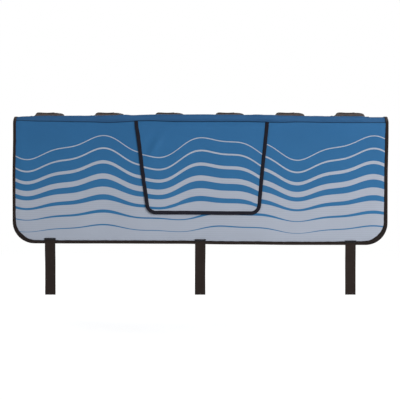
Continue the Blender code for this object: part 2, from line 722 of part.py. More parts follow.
def make_materials():
    return {
        "print_blue": material("printed_cloth_blue", (0.045, 0.150, 0.320), 0.75),
        "print_grey": material("printed_cloth_grey", (0.350, 0.380, 0.440), 0.75),
        "plain_blue": material("plain_blue_cloth", (0.035, 0.120, 0.260), 0.78),
        "rear_cloth": material("rear_cloth", (0.020, 0.020, 0.024), 0.85),
        "lining": material("brushed_lining", (0.060, 0.060, 0.066), 0.95),
        "foam": material("closed_cell_foam", (0.300, 0.300, 0.310), 0.95),
        "tape": material("binding_tape", (0.022, 0.017, 0.016), 0.80),
        "flap_tape": material("flap_binding_tape", (0.010, 0.010, 0.018), 0.75),
        "webbing": material("webbing", (0.024, 0.018, 0.017), 0.80),
        "hook_tape": material("hook_and_loop", (0.015, 0.015, 0.017), 0.95),
        "plastic": material("moulded_plastic", (0.012, 0.012, 0.013), 0.45),
        "cradle": material("cradle_rubber", (0.075, 0.060, 0.055), 0.85),
    }


def main():
    clear_scene()
    used = make_materials()
    build_front_panel(used)
    build_top_panel(used)
    build_rear_panel(used)
    binding("edge_binding", perimeter(), FOAM_IN, CORE / 2, EDGE_TAPE_ARM, used["tape"], True)
    build_flap(used)
    build_patches(used)
    build_hanging_straps(used)
    build_buckles(used)
    build_cradles(used)


main()
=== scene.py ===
"""Looks of the tailgate bike pad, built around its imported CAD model.

Everything soft is first laid out flat, as it is cut: u runs along the tailgate, v up the front panel, over the
top and down the rear panel, with 0 at the front seam, and t points out from the middle of the padding.
place() folds that layout over the tailgate. A short cloth simulation then settles the face cloth.
"""

import math

import bpy
import numpy as np
from mathutils import Matrix, Vector


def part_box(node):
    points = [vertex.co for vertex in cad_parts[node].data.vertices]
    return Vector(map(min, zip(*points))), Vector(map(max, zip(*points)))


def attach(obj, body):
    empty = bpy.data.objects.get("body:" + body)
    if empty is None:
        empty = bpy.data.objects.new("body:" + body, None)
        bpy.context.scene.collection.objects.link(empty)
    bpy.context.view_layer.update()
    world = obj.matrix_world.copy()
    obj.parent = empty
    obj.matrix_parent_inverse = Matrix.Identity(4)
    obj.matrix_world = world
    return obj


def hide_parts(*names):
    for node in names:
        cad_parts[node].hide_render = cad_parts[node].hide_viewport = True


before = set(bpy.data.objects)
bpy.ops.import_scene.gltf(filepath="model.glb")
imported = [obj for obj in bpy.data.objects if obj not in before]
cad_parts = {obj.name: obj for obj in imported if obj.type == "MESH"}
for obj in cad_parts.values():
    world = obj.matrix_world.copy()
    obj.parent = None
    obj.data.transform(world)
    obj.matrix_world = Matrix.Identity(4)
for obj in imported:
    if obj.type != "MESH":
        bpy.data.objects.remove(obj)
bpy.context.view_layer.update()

# Sizes read from the frame, in metres
FIT_GAP = 0.0003
FACE_LOW, FACE_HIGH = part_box("front_face")
HALF_WIDTH = FACE_HIGH.x
HALF_GAP = -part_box("front_lining")[1].y
CORE = -FACE_LOW.y - HALF_GAP
EDGE_RADIUS = -FACE_HIGH.z - FIT_GAP / 2
MID_RADIUS = EDGE_RADIUS + CORE / 2
BEND_LENGTH = MID_RADIUS * math.pi / 2
TOP_FLAT = 2 * (HALF_GAP - EDGE_RADIUS)
TOP_LENGTH = 2 * BEND_LENGTH + TOP_FLAT
FRONT_END = FACE_LOW.z + EDGE_RADIUS
REAR_END = TOP_LENGTH - EDGE_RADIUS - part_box("rear_face")[0].z
SIDES = ("left", "centre", "right")
CRADLES = [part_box(f"tube_cradle_{i}") for i in range(1, 7)]
# Where the tab at the left of each cradle starts, and where the strap at its right ends
PRESSED = [(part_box(f"ring_tab_{i}")[0].x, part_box(f"tube_strap_{i}")[1].x) for i in range(1, 7)]

# Sizes that the frame's boxes don't show
FRONT_CORNER = 0.090
REAR_CORNER = 0.060
TAPE_THICKNESS = 0.0010
TAPE_BUILD = TAPE_THICKNESS + FIT_GAP
EDGE_TAPE_ARM = 0.0125
FLAP_TAPE_ARM = 0.0140
WINDOW_TAPE_ARM = 0.0100
FLAP_TOP_WIDTH = 0.560
FLAP_BOTTOM_WIDTH = 0.472
FLAP_DROP = 0.391
FLAP_CENTRE = 0.003
FLAP_LEAN = 0.011
FLAP_CORNER = 0.042
WINDOW_SIDE_MARGIN = 0.034
WINDOW_TOP_MARGIN = 0.030
WINDOW_BOTTOM_MARGIN = 0.062
WINDOW_CORNER = 0.030
WINDOW_AREA = 0.135
CLOTH = 0.0010
STRAP_THICKNESS = 0.0018
TUBE_STRAP_THICKNESS = 0.0013
STRAP_CLEARANCE = 0.0002
RING_BAR = 0.0026
BUCKLE_FRAME = 0.005
BUCKLE_SLOT = 0.0046
CROSS_BAR = 0.0025
CORNER_STEPS = 14

# How the sewing shapes the padding
CELL = 0.009
EDGE_PINCH = 0.0022
EDGE_ROLL = 0.014
SEAM_PINCH = 0.0042
SEAM_ROLL = 0.006
SINK = 0.0022
TUCK = 0.0042
PUCKER = 0.0006
PUCKER_LENGTH = 0.017
UNDULATION = 0.0007
COVER_INSET = 0.0028
LEAST_PADDING = 0.0042
LINING_HEIGHT = -CORE / 2 + CLOTH / 2 + 0.0014
LINING_LAP = 0.0015
BAND_STEP = 0.005

# How far the simulation may move the cloth of the pad outwards, inwards and along, and of the flap outwards
MOST_OUT = 0.0030
MOST_IN = 0.0012
MOST_ALONG = 0.0015
MOST_FLAP_OUT = 0.0025
CUT_LARGER = 0.006
SETTLING_FRAMES = 14
HELD_BY_PADDING = 0.45
FLAP_HELD = 0.42

# Single puckers: place on the layout, depth, width and length
DENTS = (
    ((-0.764, -0.362), 0.0022, 0.007, 0.005), ((0.764, -0.378), 0.0022, 0.007, 0.005),
    ((-0.034, -0.405), 0.0012, 0.004, 0.014), ((0.36, -0.510), 0.0010, 0.006, 0.012),
    ((-0.47, -0.512), 0.0010, 0.007, 0.012), ((-0.70, -0.245), 0.0008, 0.020, 0.009),
)

# How far the binding draws in both ends of the top, and how deep the hardware sinks there at most
DRAWN_IN = 0.0045
MOST_DROOP = 0.0026
# The share of the top's sag and puff that reaches its bound ends
EDGE_SHARE = 0.45
# How far the front panel leans to the right, at its hem and at its top
LEAN = -0.0008, 0.0022

# The flap's soft fold: its middle, direction, height and the dip beside it
FOLD_SPOT = -0.190, -0.112
FOLD_TURN = 0.50, 0.87
FOLD_HEIGHT = 0.0058
FOLD_DIP = 0.0020
FLAP_HEIGHT = 0.0099

# Print: grey wave stripes on blue
STRIPE_ROWS = 8
STRIPE_PITCH = 0.052
FIRST_STRIPE = -0.113
FIRST_GREY_SHARE = 0.08
LAST_GREY_SHARE = 0.95
LEAST_SWELL = 0.013
MOST_SWELL = 0.056
LONG_WAVE = 0.560
SHORT_WAVE = 0.225
SHORT_WAVE_SHARE = 0.22
FLAP_PRINT_SHIFT = 0.085
INK_EDGE = 0.0009
BLUE = (0.0245, 0.122, 0.282, 1)
# The blue near the front panel's hem: painted light, so the panel grows lighter towards the bottom
LOW_BLUE_PAINTED_LIGHT = (0.030, 0.148, 0.318, 1)
GREY = (0.370, 0.407, 0.483, 1)
# The dark of the front seam's crease: painted shade
SEAM_SHADE = (0.004, 0.011, 0.024, 1)
# Paler grey of the binding tape: wear along its fold, and a painted highlight on the pad's top
WEAR_AND_HIGHLIGHT = (0.115, 0.100, 0.092, 1)
WEAVE_PITCH = 0.0008

# Thread
STITCH_PITCH = 0.0042
STITCH_LENGTH = 0.0031
THREAD = 0.00032
STITCH_INSET = 0.0022
STITCH_LIFT = 0.0002

# Camera and stage
CAMERA_DISTANCE = 8.0
CAMERA_ELEVATION = 2.0
FRAME_WIDTH = 1.662
AIM = Vector((-0.0012, -0.050, -0.340))
FLOOR_Z = -0.80


def curve(*values):
    """Pairs of a place along the pad and a height there, written in tenths of a millimetre."""
    return np.array(values).reshape(-1, 2).T / 10000


# How far the top stands above or below its plain height: it sags at the ends and puffs up between the cradles
CREST_LINE = curve(
    -7800, -95,  -7150, -55,  -6600, -10,  -5200, 2,  -4600, -2,  -3800, 5,  -3000, 18,  -2000, 30,
    -700, 41,  400, 38,  1800, 45,  2350, 53,  2850, 30,  4300, -5,  5000, -22,  5800, -15,  6600, -20,
    7300, -85,  7800, -95,
)
# How high the front edge of the top puffs up in front of the cradles and between them
RIDGE_LINE = curve(
    -7800, -60,  -7390, -19,  -7140, -12,  -6890, 4,  -6400, 22,  -6000, 22,  -5400, 41,  -4900, 20,
    -4400, 52,  -3900, 100,  -3400, 112,  -3150, 106,  -2800, 45,  -2400, 56,  -2000, 64,  -1650, 82,
    -900, 100,  -400, 90,  340, 90,  600, 80,  1600, 78,  2080, 62,  2460, 92,  2950, 104,  3330, 66,
    4080, 35,  4570, 14,  5000, 30,  6570, 28,  6820, 4,  7070, -16,  7570, -50,  7800, -60,
)
# How far the front seam wanders from its plain line
SEAM_LINE = curve(
    -7800, 0,  -6600, -37,  -4700, -66,  -3900, -92,  -2200, -18,  -1000, -54,  1700, -54,  3300, -90,
    4000, -70,  5500, -94,  7800, -94,
)
# How far the hem of the front panel and the tops of its straps hang above or below their plain line
HEM_LINE = curve(-7800, 22,  -4500, 14,  -1000, 2,  1500, -26,  4000, -46,  7800, -46)
STRAP_TOP_LINE = curve(-7800, 30,  0, -30,  7800, -90)


def smooth(x):
    """Eases from 0 to 1 as x goes from 0 to 1."""
    x = np.clip(x, 0.0, 1.0)
    return x * x * (3 - 2 * x)


def joined(*parts):
    """Points from their coordinates, or faces from their corners. Some may be the same for all."""
    return np.stack(np.broadcast_arrays(*parts), axis=-1)


def between(x, low, high, soft):
    """1 well between low and high, easing to 0 at both over a soft length."""
    return smooth((x - low) / soft) * smooth((high - x) / soft)


def along_line(line, x):
    """The height at x of a smooth curve through the pairs of a line."""
    xs, heights = line
    i = np.clip(np.searchsorted(xs, x) - 1, 0, len(xs) - 2)
    share = smooth((x - xs[i]) / (xs[i + 1] - xs[i]))
    return heights[i] + (heights[i + 1] - heights[i]) * share


def bumps(u, v, length, seed):
    """Smooth random heights, about -1 to 1, whose hills lie about a length apart."""
    rng = np.random.RandomState(seed)
    total = 0.0
    for angle, phase, stretch in rng.rand(10, 3):
        turn = 2 * math.pi * angle
        size = 2 * math.pi / length * (0.6 + 0.8 * stretch)
        total = total + np.sin((u * math.cos(turn) + v * math.sin(turn)) * size + 2 * math.pi * phase)
    return total / 4


def fold(v, t):
    """The y and z of points of the layout."""
    radius = MID_RADIUS + t
    first = np.clip(v, 0, BEND_LENGTH) / MID_RADIUS
    second = np.clip(v - BEND_LENGTH - TOP_FLAT, 0, BEND_LENGTH) / MID_RADIUS
    flat = np.clip(v - BEND_LENGTH, 0, TOP_FLAT)
    y = -TOP_FLAT / 2 - radius * np.cos(first) + flat + radius * np.sin(second)
    turned = radius * (np.sin(first) + np.cos(second) - 1)
    return y, turned - EDGE_RADIUS + np.minimum(v, 0) - np.maximum(v - TOP_LENGTH, 0)


def place(u, v, t):
    """Points of the layout on the tailgate, with the front panel hanging a little askew."""
    y, z = fold(v, t)
    lean = LEAN[0] + (LEAN[1] - LEAN[0]) * smooth((v + 0.25) / 0.20)
    lean = lean * (1 - smooth((v - TOP_LENGTH) / 0.15))
    drawn = between(v, -0.010, TOP_LENGTH + 0.010, 0.030) * smooth((np.abs(u) - 0.70) / 0.07)
    hem = along_line(HEM_LINE, u) * np.clip(v / FRONT_END, 0, 1)
    return joined(u + lean - np.sign(u) * DRAWN_IN * drawn, y, z + hem)


def outward(v):
    """The direction in which t grows."""
    first = np.clip(v, 0, BEND_LENGTH) / MID_RADIUS
    second = np.clip(v - BEND_LENGTH - TOP_FLAT, 0, BEND_LENGTH) / MID_RADIUS
    return joined(0.0, np.sin(second) - np.cos(first), np.sin(first) + np.cos(second) - 1)


def rectangle(left, low, right, high):
    """Its corners, anticlockwise from the lower left."""
    return [(left, low), (right, low), (right, high), (left, high)]


def rounded(corners, radii, steps=CORNER_STEPS):
    """An anticlockwise outline with rounded corners."""
    points = []
    for i, (corner, radius) in enumerate(zip(corners, radii)):
        corner = Vector(corner)
        back = (Vector(corners[i - 1]) - corner).normalized()
        ahead = (Vector(corners[(i + 1) % len(corners)]) - corner).normalized()
        half = back.angle(ahead) / 2
        centre = corner + (back + ahead).normalized() * radius / math.sin(half)
        start = corner + back * radius / math.tan(half) - centre
        for k in range(steps + 1):
            points.append(centre + Matrix.Rotation((math.pi - 2 * half) * k / steps, 2) @ start)
    return np.array(points)


def travelled(points):
    """How far along a line each of its points lies."""
    return np.concatenate([[0.0], np.cumsum(np.linalg.norm(np.diff(points, axis=0), axis=1))])


def resample(points, step, closed=False):
    """The same line with its points evenly spaced."""
    points = np.asarray(points, float)
    if closed:
        points = np.vstack([points, points[:1]])
    far = travelled(points)
    wanted = np.linspace(0, far[-1], max(int(round(far[-1] / step)), 2) + 1)
    if closed:
        wanted = wanted[:-1]
    return np.stack([np.interp(wanted, far, column) for column in points.T], axis=-1)


def tangents(points, closed=False):
    if closed:
        ahead = np.roll(points, -1, axis=0) - np.roll(points, 1, axis=0)
    else:
        ahead = np.gradient(points, axis=0)
    return ahead / np.linalg.norm(ahead, axis=1, keepdims=True)


def edge_normals(path, closed):
    """Outward normals of an anticlockwise path of the layout."""
    ahead = tangents(path, closed)
    return joined(ahead[:, 1], -ahead[:, 0])


def distance_to(path, u, v):
    """Distance from each point to the nearest point of a path."""
    near = np.full(np.shape(u), np.inf)
    for a, b in path:
        near = np.minimum(near, np.hypot(u - a, v - b))
    return near


def within(path, u, v):
    """True for points inside a closed outline."""
    crossed = np.zeros(np.shape(u), bool)
    for (a, b), (c, d) in zip(path, np.roll(path, -1, axis=0)):
        if b != d:
            crossed ^= ((b > v) != (d > v)) & (u < a + (v - b) * (c - a) / (d - b))
    return crossed


def add_node(tree, kind, inputs, output=0, **settings):
    """A shader node with its inputs set or linked. Gives one of its outputs."""
    made = tree.nodes.new("ShaderNode" + kind)
    for key, value in settings.items():
        setattr(made, key, value)
    for key, value in inputs.items():
        if isinstance(value, bpy.types.NodeSocket):
            tree.links.new(value, made.inputs[key])
        else:
            made.inputs[key].default_value = value
    return made.outputs[output]


class Look:
    """A Principled material, with short calls that build what drives it."""

    def __init__(self, name, roughness, specular, sheen=0.0, sheen_roughness=0.5):
        self.material = bpy.data.materials.new(name)
        self.material.use_nodes = True
        self.tree = self.material.node_tree
        self.inputs = self.tree.nodes["Principled BSDF"].inputs
        self.inputs["Roughness"].default_value = roughness
        self.inputs["Specular IOR Level"].default_value = specular
        self.inputs["Sheen Weight"].default_value = sheen
        self.inputs["Sheen Roughness"].default_value = sheen_roughness

    def node(self, kind, inputs, output=0, **settings):
        return add_node(self.tree, kind, inputs, output, **settings)

    def math(self, operation, a, b=0.0, c=0.0, clamp=False):
        return self.node("Math", {0: a, 1: b, 2: c}, operation=operation, use_clamp=clamp)

    def times(self, a, b):
        return self.math("MULTIPLY", a, b)

    def scaled(self, value, scale, shift):
        """value * scale + shift."""
        return self.math("MULTIPLY_ADD", value, scale, shift)

    def ramp(self, value, scale, shift):
        """The same, kept between 0 and 1."""
        return self.math("MULTIPLY_ADD", value, scale, shift, clamp=True)

    def mix(self, factor, a, b):
        return self.node("Mix", {0: factor, 6: a, 7: b}, output=2, data_type="RGBA")

    def layout(self):
        """The two coordinates of the cut cloth, webbing or tape, in metres."""
        both = self.node("UVMap", {}, uv_map="layout")
        return [self.node("SeparateXYZ", {0: both}, i) for i in (0, 1)]

    def height(self):
        """How high above the tailgate's edge, in metres."""
        return self.node("SeparateXYZ", {0: self.node("TexCoord", {}, 3)}, 2)

    def noise(self, scale, detail, stretch=(1.0, 1.0, 1.0)):
        """Noise fixed to the object, with so many features in a metre."""
        spot = self.node("Mapping", {0: self.node("TexCoord", {}, 3), 3: stretch})
        return self.node("TexNoise", {"Vector": spot, "Scale": scale, "Detail": detail})

    def ripple(self, along, pitch):
        """A sine wave, -1 to 1, with the given pitch."""
        return self.math("SINE", self.scaled(along, 2 * math.pi / pitch, 0.0))

    def weave(self, u, v):
        """Height of a plain weave."""
        return self.times(self.ripple(u, 2 * WEAVE_PITCH), self.ripple(v, 2 * WEAVE_PITCH))

    def shade(self, colour, amount, factor):
        """The colour, darker or lighter by up to an amount as the factor goes from 0 to 1."""
        value = self.scaled(factor, 2 * amount, 1 - amount)
        return self.node("HueSaturation", {"Color": colour, "Value": value})

    def mottled(self, colour, amount, scale, detail=3):
        return self.shade(colour, amount, self.noise(scale, detail))

    def patchy(self, scale, amount, least):
        """Roughness that goes up from the least by an amount in soft patches."""
        return self.scaled(self.noise(scale, 2), amount, least)

    def finish(self, colour, height, bump, depth, rough=None):
        relief = self.node("Bump", {"Strength": bump, "Distance": depth, "Height": height})
        for name, socket in (("Base Color", colour), ("Normal", relief), ("Roughness", rough)):
            if socket is not None:
                self.tree.links.new(socket, self.inputs[name])
        return self.material


def print_mask(look, u, v, shift):
    """1 on the grey waves and 0 on the blue between them."""
    moved = look.math("ADD", u, shift)
    long_part = look.times(look.ripple(moved, LONG_WAVE), 1 - SHORT_WAVE_SHARE)
    wave = look.scaled(look.ripple(moved, SHORT_WAVE), SHORT_WAVE_SHARE, long_part)
    mask = 0.0
    for row in range(STRIPE_ROWS):
        eased = float(smooth(row / (STRIPE_ROWS - 1)))
        share = FIRST_GREY_SHARE + (LAST_GREY_SHARE - FIRST_GREY_SHARE) * eased
        swell = LEAST_SWELL + (MOST_SWELL - LEAST_SWELL) * (1 - share)
        off = look.math("SUBTRACT", v, look.scaled(wave, swell, FIRST_STRIPE - row * STRIPE_PITCH))
        if row < STRIPE_ROWS - 1:
            off = look.math("ABSOLUTE", off)
        inked = look.ramp(off, -1 / INK_EDGE, share * STRIPE_PITCH / 2 / INK_EDGE + 0.5)
        mask = look.math("MAXIMUM", mask, inked)
    return mask


def paint_seam_shade(look, colour, v):
    """Paints shade into the cloth where it turns into the front seam: a painted shadow of the crease."""
    near = look.ramp(look.math("ABSOLUTE", v), -1 / 0.0015, 1.5)
    return look.mix(look.times(near, 0.72), colour, SEAM_SHADE)


def printed_cloth(name, shift):
    """Coated polyester with the wave print: a fine weave, faint ribs in the ink and slight mottling. The blue
    is painted lighter towards the hem as painted light, and the cloth is painted darker at the front seam as
    painted shade.
    """
    look = Look(name, 0.62, 0.14, 0.04, 0.4)
    u, v = look.layout()
    # Painted light: the blue grows lighter from just below the seam down to the hem
    blue = look.mottled(look.mix(look.ramp(v, -1 / 0.35, -0.15), BLUE, LOW_BLUE_PAINTED_LIGHT), 0.09, 5)
    ribs = look.scaled(look.ripple(v, 0.0085), 0.5, 0.5)
    grey = look.mottled(look.shade(GREY, 0.035, ribs), 0.05, 7)
    colour = look.mottled(look.mix(print_mask(look, u, v, shift), blue, grey), 0.05, 900, 1)
    return look.finish(paint_seam_shade(look, colour, v), look.weave(u, v), 0.10, 0.0004, look.patchy(11, 0.16, 0.54))


def plain_cloth(name, colour, mottle):
    """The same cloth without a print."""
    look = Look(name, 0.68, 0.14, 0.05, 0.4)
    u, v = look.layout()
    tone = look.mottled(look.mottled(colour, mottle, 9), 0.06, 900, 1)
    # Painted shade: the cloth is darker where it turns into the front seam
    return look.finish(paint_seam_shade(look, tone, v), look.weave(u, v), 0.14, 0.0004, look.patchy(13, 0.16, 0.60))


def lining_cloth():
    """Brushed tricot against the truck's paint: a short dull pile with pressed patches."""
    look = Look("brushed_lining", 0.95, 0.08, 0.12, 0.6)
    pile = look.noise(1400, 3, (1, 1, 0.5))
    tone = look.mottled(look.shade((0.115, 0.117, 0.124, 1), 0.25, pile), 0.14, 16)
    return look.finish(tone, pile, 0.5, 0.0008)


def woven_tape(name, colour, width, worn_and_highlit=False):
    """Ribbed tape or webbing with a tighter selvedge at both sides. On request the tape is also painted paler
    grey: in patches along its fold, as wear and a painted highlight, and on the pad's top, as a painted
    highlight.
    """
    look = Look(name, 0.74, 0.14, 0.03, 0.5)
    along, across = look.layout()
    off = look.math("ABSOLUTE", across)
    cords = look.ripple(across, 0.0042)
    rib = look.ripple(look.scaled(cords, 0.00035, along), 0.0019)
    tone = look.shade(colour, 0.22, look.scaled(rib, 0.5, 0.5))
    tone = look.mottled(look.mottled(tone, 0.20, 26, 4), 0.16, 1100, 1)
    selvedge = look.ramp(look.times(off, 2 / width), 14.0, -12.2)
    tone = look.mix(look.times(selvedge, 0.45), tone, (0.006, 0.005, 0.005, 1))
    if worn_and_highlit:
        # Paler grey patches along the tape's fold: wear and a painted highlight
        patch_mask = look.times(look.ramp(off, -1 / 0.004, 1.0), look.ramp(look.noise(34, 5), 3.0, -1.35))
        tone = look.mix(patch_mask, tone, WEAR_AND_HIGHLIGHT)
        # Painted highlight: the tape is paler grey where it turns over the top of the pad
        high = look.ramp(look.height(), 1 / 0.012, 1.5)
        patch_mask = look.times(high, look.ramp(look.noise(60, 4), 1.8, -0.35))
        tone = look.mix(look.times(patch_mask, 0.55), tone, WEAR_AND_HIGHLIGHT)
    return look.finish(tone, look.scaled(cords, 0.4, rib), 0.45, 0.0005, look.patchy(40, 0.2, 0.64))


def cradle_rubber():
    """Moulded foam rubber: a pebbled skin with patches that are rubbed smooth."""
    look = Look("cradle_rubber", 0.7, 0.25)
    grain, patch_mask = look.noise(650, 3), look.noise(38, 4)
    tone = look.shade((0.085, 0.062, 0.054, 1), 0.25, grain)
    tone = look.mix(look.ramp(patch_mask, 2.4, -0.95), tone, (0.050, 0.048, 0.052, 1))
    return look.finish(tone, grain, 0.4, 0.0006, look.scaled(patch_mask, 0.3, 0.55))


def moulded_plastic():
    """Dull black plastic with scuffs along its length."""
    look = Look("moulded_plastic", 0.42, 0.35)
    scuffs = look.noise(90, 5, (1, 1, 4))
    tone = look.shade((0.014, 0.014, 0.015, 1), 0.3, scuffs)
    return look.finish(tone, look.noise(1500, 2), 0.22, 0.0003, look.scaled(scuffs, 0.35, 0.25))


def grainy(name, colour, surface, scale, detail, contrast, bump, depth):
    """One colour whose fine grain also makes its relief."""
    look = Look(name, *surface)
    grain = look.noise(scale, detail)
    return look.finish(look.shade(colour, contrast, grain), grain, bump, depth)


def thread(name, colour):
    return grainy(name, colour, (0.5, 0.3), 2500, 1, 0.3, 0.3, 0.0002)


LOOKS = {
    "printed_cloth": printed_cloth("printed_cloth", 0.0),
    "flap_cloth": printed_cloth("flap_printed_cloth", FLAP_PRINT_SHIFT),
    "blue_cloth": plain_cloth("plain_blue_cloth", (0.026, 0.098, 0.225, 1), 0.10),
    "rear_cloth": plain_cloth("rear_cloth", (0.030, 0.030, 0.034, 1), 0.16),
    "lining": lining_cloth(),
    "binding_tape": woven_tape("binding_tape", (0.0185, 0.0118, 0.0102, 1), 0.025, worn_and_highlit=True),
    "flap_tape": woven_tape("flap_binding_tape", (0.0080, 0.0075, 0.0140, 1), 0.030),
    "webbing": woven_tape("webbing", (0.0212, 0.0138, 0.0115, 1), 0.0425),
    "dark_thread": thread("dark_thread", (0.016, 0.012, 0.011, 1)),
    "black_thread": thread("black_thread", (0.0045, 0.0045, 0.0075, 1)),
    "navy_thread": thread("navy_thread", (0.010, 0.010, 0.018, 1)),
    "cradle_rubber": cradle_rubber(),
    "moulded_plastic": moulded_plastic(),
    "hook_tape": grainy("hook_and_loop", (0.014, 0.014, 0.016, 1), (0.9, 0.1, 0.1), 1800, 2, 0.5, 0.9, 0.001),
}


def add_mesh(name, verts, faces, look, *nodes, slot=None, uv=None):
    """A smooth piece that replaces the CAD's nodes. uv holds each vertex's place on the cut cloth or tape."""
    mesh = bpy.data.meshes.new(name)
    mesh.from_pydata(np.asarray(verts).reshape(-1, 3).tolist(), [], [tuple(map(int, f)) for f in faces])
    mesh.materials.append(LOOKS[look])
    mesh.shade_smooth()
    if uv is not None:
        corners = np.zeros(len(mesh.loops), int)
        mesh.loops.foreach_get("vertex_index", corners)
        layer = mesh.uv_layers.new(name="layout")
        layer.data.foreach_set("uv", np.asarray(uv).reshape(-1, 2)[corners].astype(np.float32).ravel())
    obj = bpy.data.objects.new(name, mesh)
    bpy.context.scene.collection.objects.link(obj)
    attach(obj, "root")
    if nodes:
        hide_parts(*nodes)
    return obj


def quads(rows, columns, round_rows=False, round_columns=False):
    """Faces of a grid of points. A grid that goes round joins its last row or column to its first."""
    index = np.arange(rows * columns).reshape(rows, columns)
    if round_rows:
        index = np.vstack([index, index[:1]])
    if round_columns:
        index = np.hstack([index, index[:, :1]])
    return joined(index[:-1, :-1], index[:-1, 1:], index[1:, 1:], index[1:, :-1]).reshape(-1, 4)


def grid(rows, columns):
    """The column's and the row's value at each point of a grid, and the grid's faces."""
    v, u = np.meshgrid(rows, columns, indexing="ij")
    return u.ravel(), v.ravel(), quads(len(rows), len(columns))


def tube_faces(rows, around):
    """Faces of a tube of points, closed at both ends."""
    last = (rows - 1) * around
    ends = [tuple(range(around - 1, -1, -1)), tuple(range(last, last + around))]
    return [tuple(f) for f in quads(rows, around, round_columns=True)] + ends


def add_cloth(name, verts, faces, look, *nodes, layout, slot=None, levels=1):
    """A piece of cloth, made of the vertices that its faces use, smoothed and thickened inwards."""
    used, renumbered = np.unique(faces, return_inverse=True)
    faces = renumbered.reshape(-1, 4)
    obj = add_mesh(name, verts[used], faces, look, *nodes, slot=slot, uv=layout[used])
    if levels:
        rounder = obj.modifiers.new("smooth", "SUBSURF")
        rounder.levels = rounder.render_levels = levels
        rounder.uv_smooth = "NONE"
    shell = obj.modifiers.new("thickness", "SOLIDIFY")
    shell.thickness = CLOTH
    shell.offset = -1.0
    return obj


def settle(verts, faces, pin, pressure):
    """Cloth simulation of a face cloth cut slightly larger than its padding. pin is 1 where it is sewn down."""
    mesh = bpy.data.meshes.new("settling")
    mesh.from_pydata(verts.tolist(), [], faces.tolist())
    obj = bpy.data.objects.new("settling", mesh)
    scene = bpy.context.scene
    scene.collection.objects.link(obj)
    group = obj.vertex_groups.new(name="pin")
    pin = np.round(pin, 2)
    for weight in np.unique(pin):
        group.add(np.flatnonzero(pin == weight).tolist(), float(weight), "REPLACE")
    cloth = obj.modifiers.new("cloth", "CLOTH")
    settings = {
        "quality": 6, "mass": 0.2, "tension_stiffness": 25, "compression_stiffness": 25, "shear_stiffness": 10,
        "bending_stiffness": 2.0, "vertex_group_mass": "pin", "pin_stiffness": 4.0, "shrink_min": -CUT_LARGER,
        "use_pressure": True, "uniform_pressure_force": pressure,
    }
    for key, value in settings.items():
        setattr(cloth.settings, key, value)
    cloth.settings.effector_weights.gravity = 0.0
    cloth.collision_settings.use_collision = False
    cloth.point_cache.frame_start = 1
    cloth.point_cache.frame_end = SETTLING_FRAMES
    for number in range(1, SETTLING_FRAMES + 1):
        scene.frame_set(number)
    settled = obj.evaluated_get(bpy.context.evaluated_depsgraph_get()).to_mesh()
    moved = np.zeros(len(verts) * 3)
    settled.vertices.foreach_get("co", moved)
    bpy.data.objects.remove(obj)
    scene.frame_set(1)
    return moved.reshape(-1, 3)


def near_ends(v):
    """From 0 where the rounded corners start to 1 at the front panel's hem and at the rear panel's."""
    return np.clip(1 - (v - FRONT_END) / FRONT_CORNER, 0, 1), np.clip(1 - (REAR_END - v) / REAR_CORNER, 0, 1)


def half_width(v):
    """Half the layout's width at v, with its rounded corners."""
    low, high = near_ends(v)
    lost = FRONT_CORNER * (1 - np.sqrt(1 - low**2)) + REAR_CORNER * (1 - np.sqrt(1 - high**2))
    return HALF_WIDTH - lost


def perimeter():
    corners = rectangle(-HALF_WIDTH, FRONT_END, HALF_WIDTH, REAR_END)
    return rounded(corners, [FRONT_CORNER] * 2 + [REAR_CORNER] * 2)


def flap_corners(side_margin, top_margin, bottom_margin):
    """The flap's corners, anticlockwise from the lower left, each margin inside its cloth's edge."""
    slope = (FLAP_TOP_WIDTH - FLAP_BOTTOM_WIDTH) / 2 / FLAP_DROP
    corners = []
    low = FLAP_DROP - TAPE_BUILD - bottom_margin
    for side, depth in ((-1, low), (1, low), (1, top_margin), (-1, top_margin)):
        half = FLAP_TOP_WIDTH / 2 - TAPE_BUILD - side_margin - slope * depth
        corners.append((FLAP_CENTRE + FLAP_LEAN * depth / FLAP_DROP + side * half, -depth))
    return corners


def window_outline():
    corners = flap_corners(WINDOW_SIDE_MARGIN, WINDOW_TOP_MARGIN, WINDOW_BOTTOM_MARGIN)
    return rounded(corners, [WINDOW_CORNER] * 4)


def flap_outline():
    """The flap's left side, bottom and right side, from its upper left corner to its upper right."""
    corners = flap_corners(0.0, FIT_GAP, 0.0)
    bottom = rounded(corners, [FLAP_CORNER] * 4)[: 2 * (CORNER_STEPS + 1)]
    return np.vstack([corners[3], bottom, corners[2]])


def edge_distance(u, v):
    """How far inside the pad's edge each point lies."""
    radius = np.where(v < 0, FRONT_CORNER, REAR_CORNER)
    middle, half = (FRONT_END + REAR_END) / 2, (REAR_END - FRONT_END) / 2
    a = np.abs(u) - HALF_WIDTH + radius
    b = np.abs(v - middle) - half + radius
    return radius - np.hypot(np.maximum(a, 0), np.maximum(b, 0)) - np.minimum(np.maximum(a, b), 0)


def seam_shift(u, v):
    """How far the front seam and what is near it wanders up or down."""
    return along_line(SEAM_LINE, u) * np.exp(-((v / 0.05) ** 2))


def off_middle(v):
    """How far each v is from the middle of the top."""
    return np.abs(v - BEND_LENGTH - TOP_FLAT / 2)


def under_cradle(u, across):
    """1 under the cradles, which hold the padding flat, and 0 clear of them."""
    held = np.zeros(np.shape(u))
    for low, high in CRADLES:
        here = between(u, low.x - 0.004, high.x + 0.004, 0.008)
        held = np.maximum(held, here * smooth((high.y + 0.004 - across) / 0.005))
    return held


def press_depth(u, v):
    """How deep the cradles, and the straps' ends and rings beside them, press into the padding."""
    across = off_middle(v)
    narrow = smooth((0.030 - across) / 0.008)
    cradle = under_cradle(u, across)
    depth = SINK * cradle
    for tab, foot in PRESSED:
        whole = between(u, tab - 0.012, foot + 0.012, 0.010)
        depth = np.maximum(depth, (TUCK * whole - (TUCK - SINK) * cradle) * narrow)
    return depth


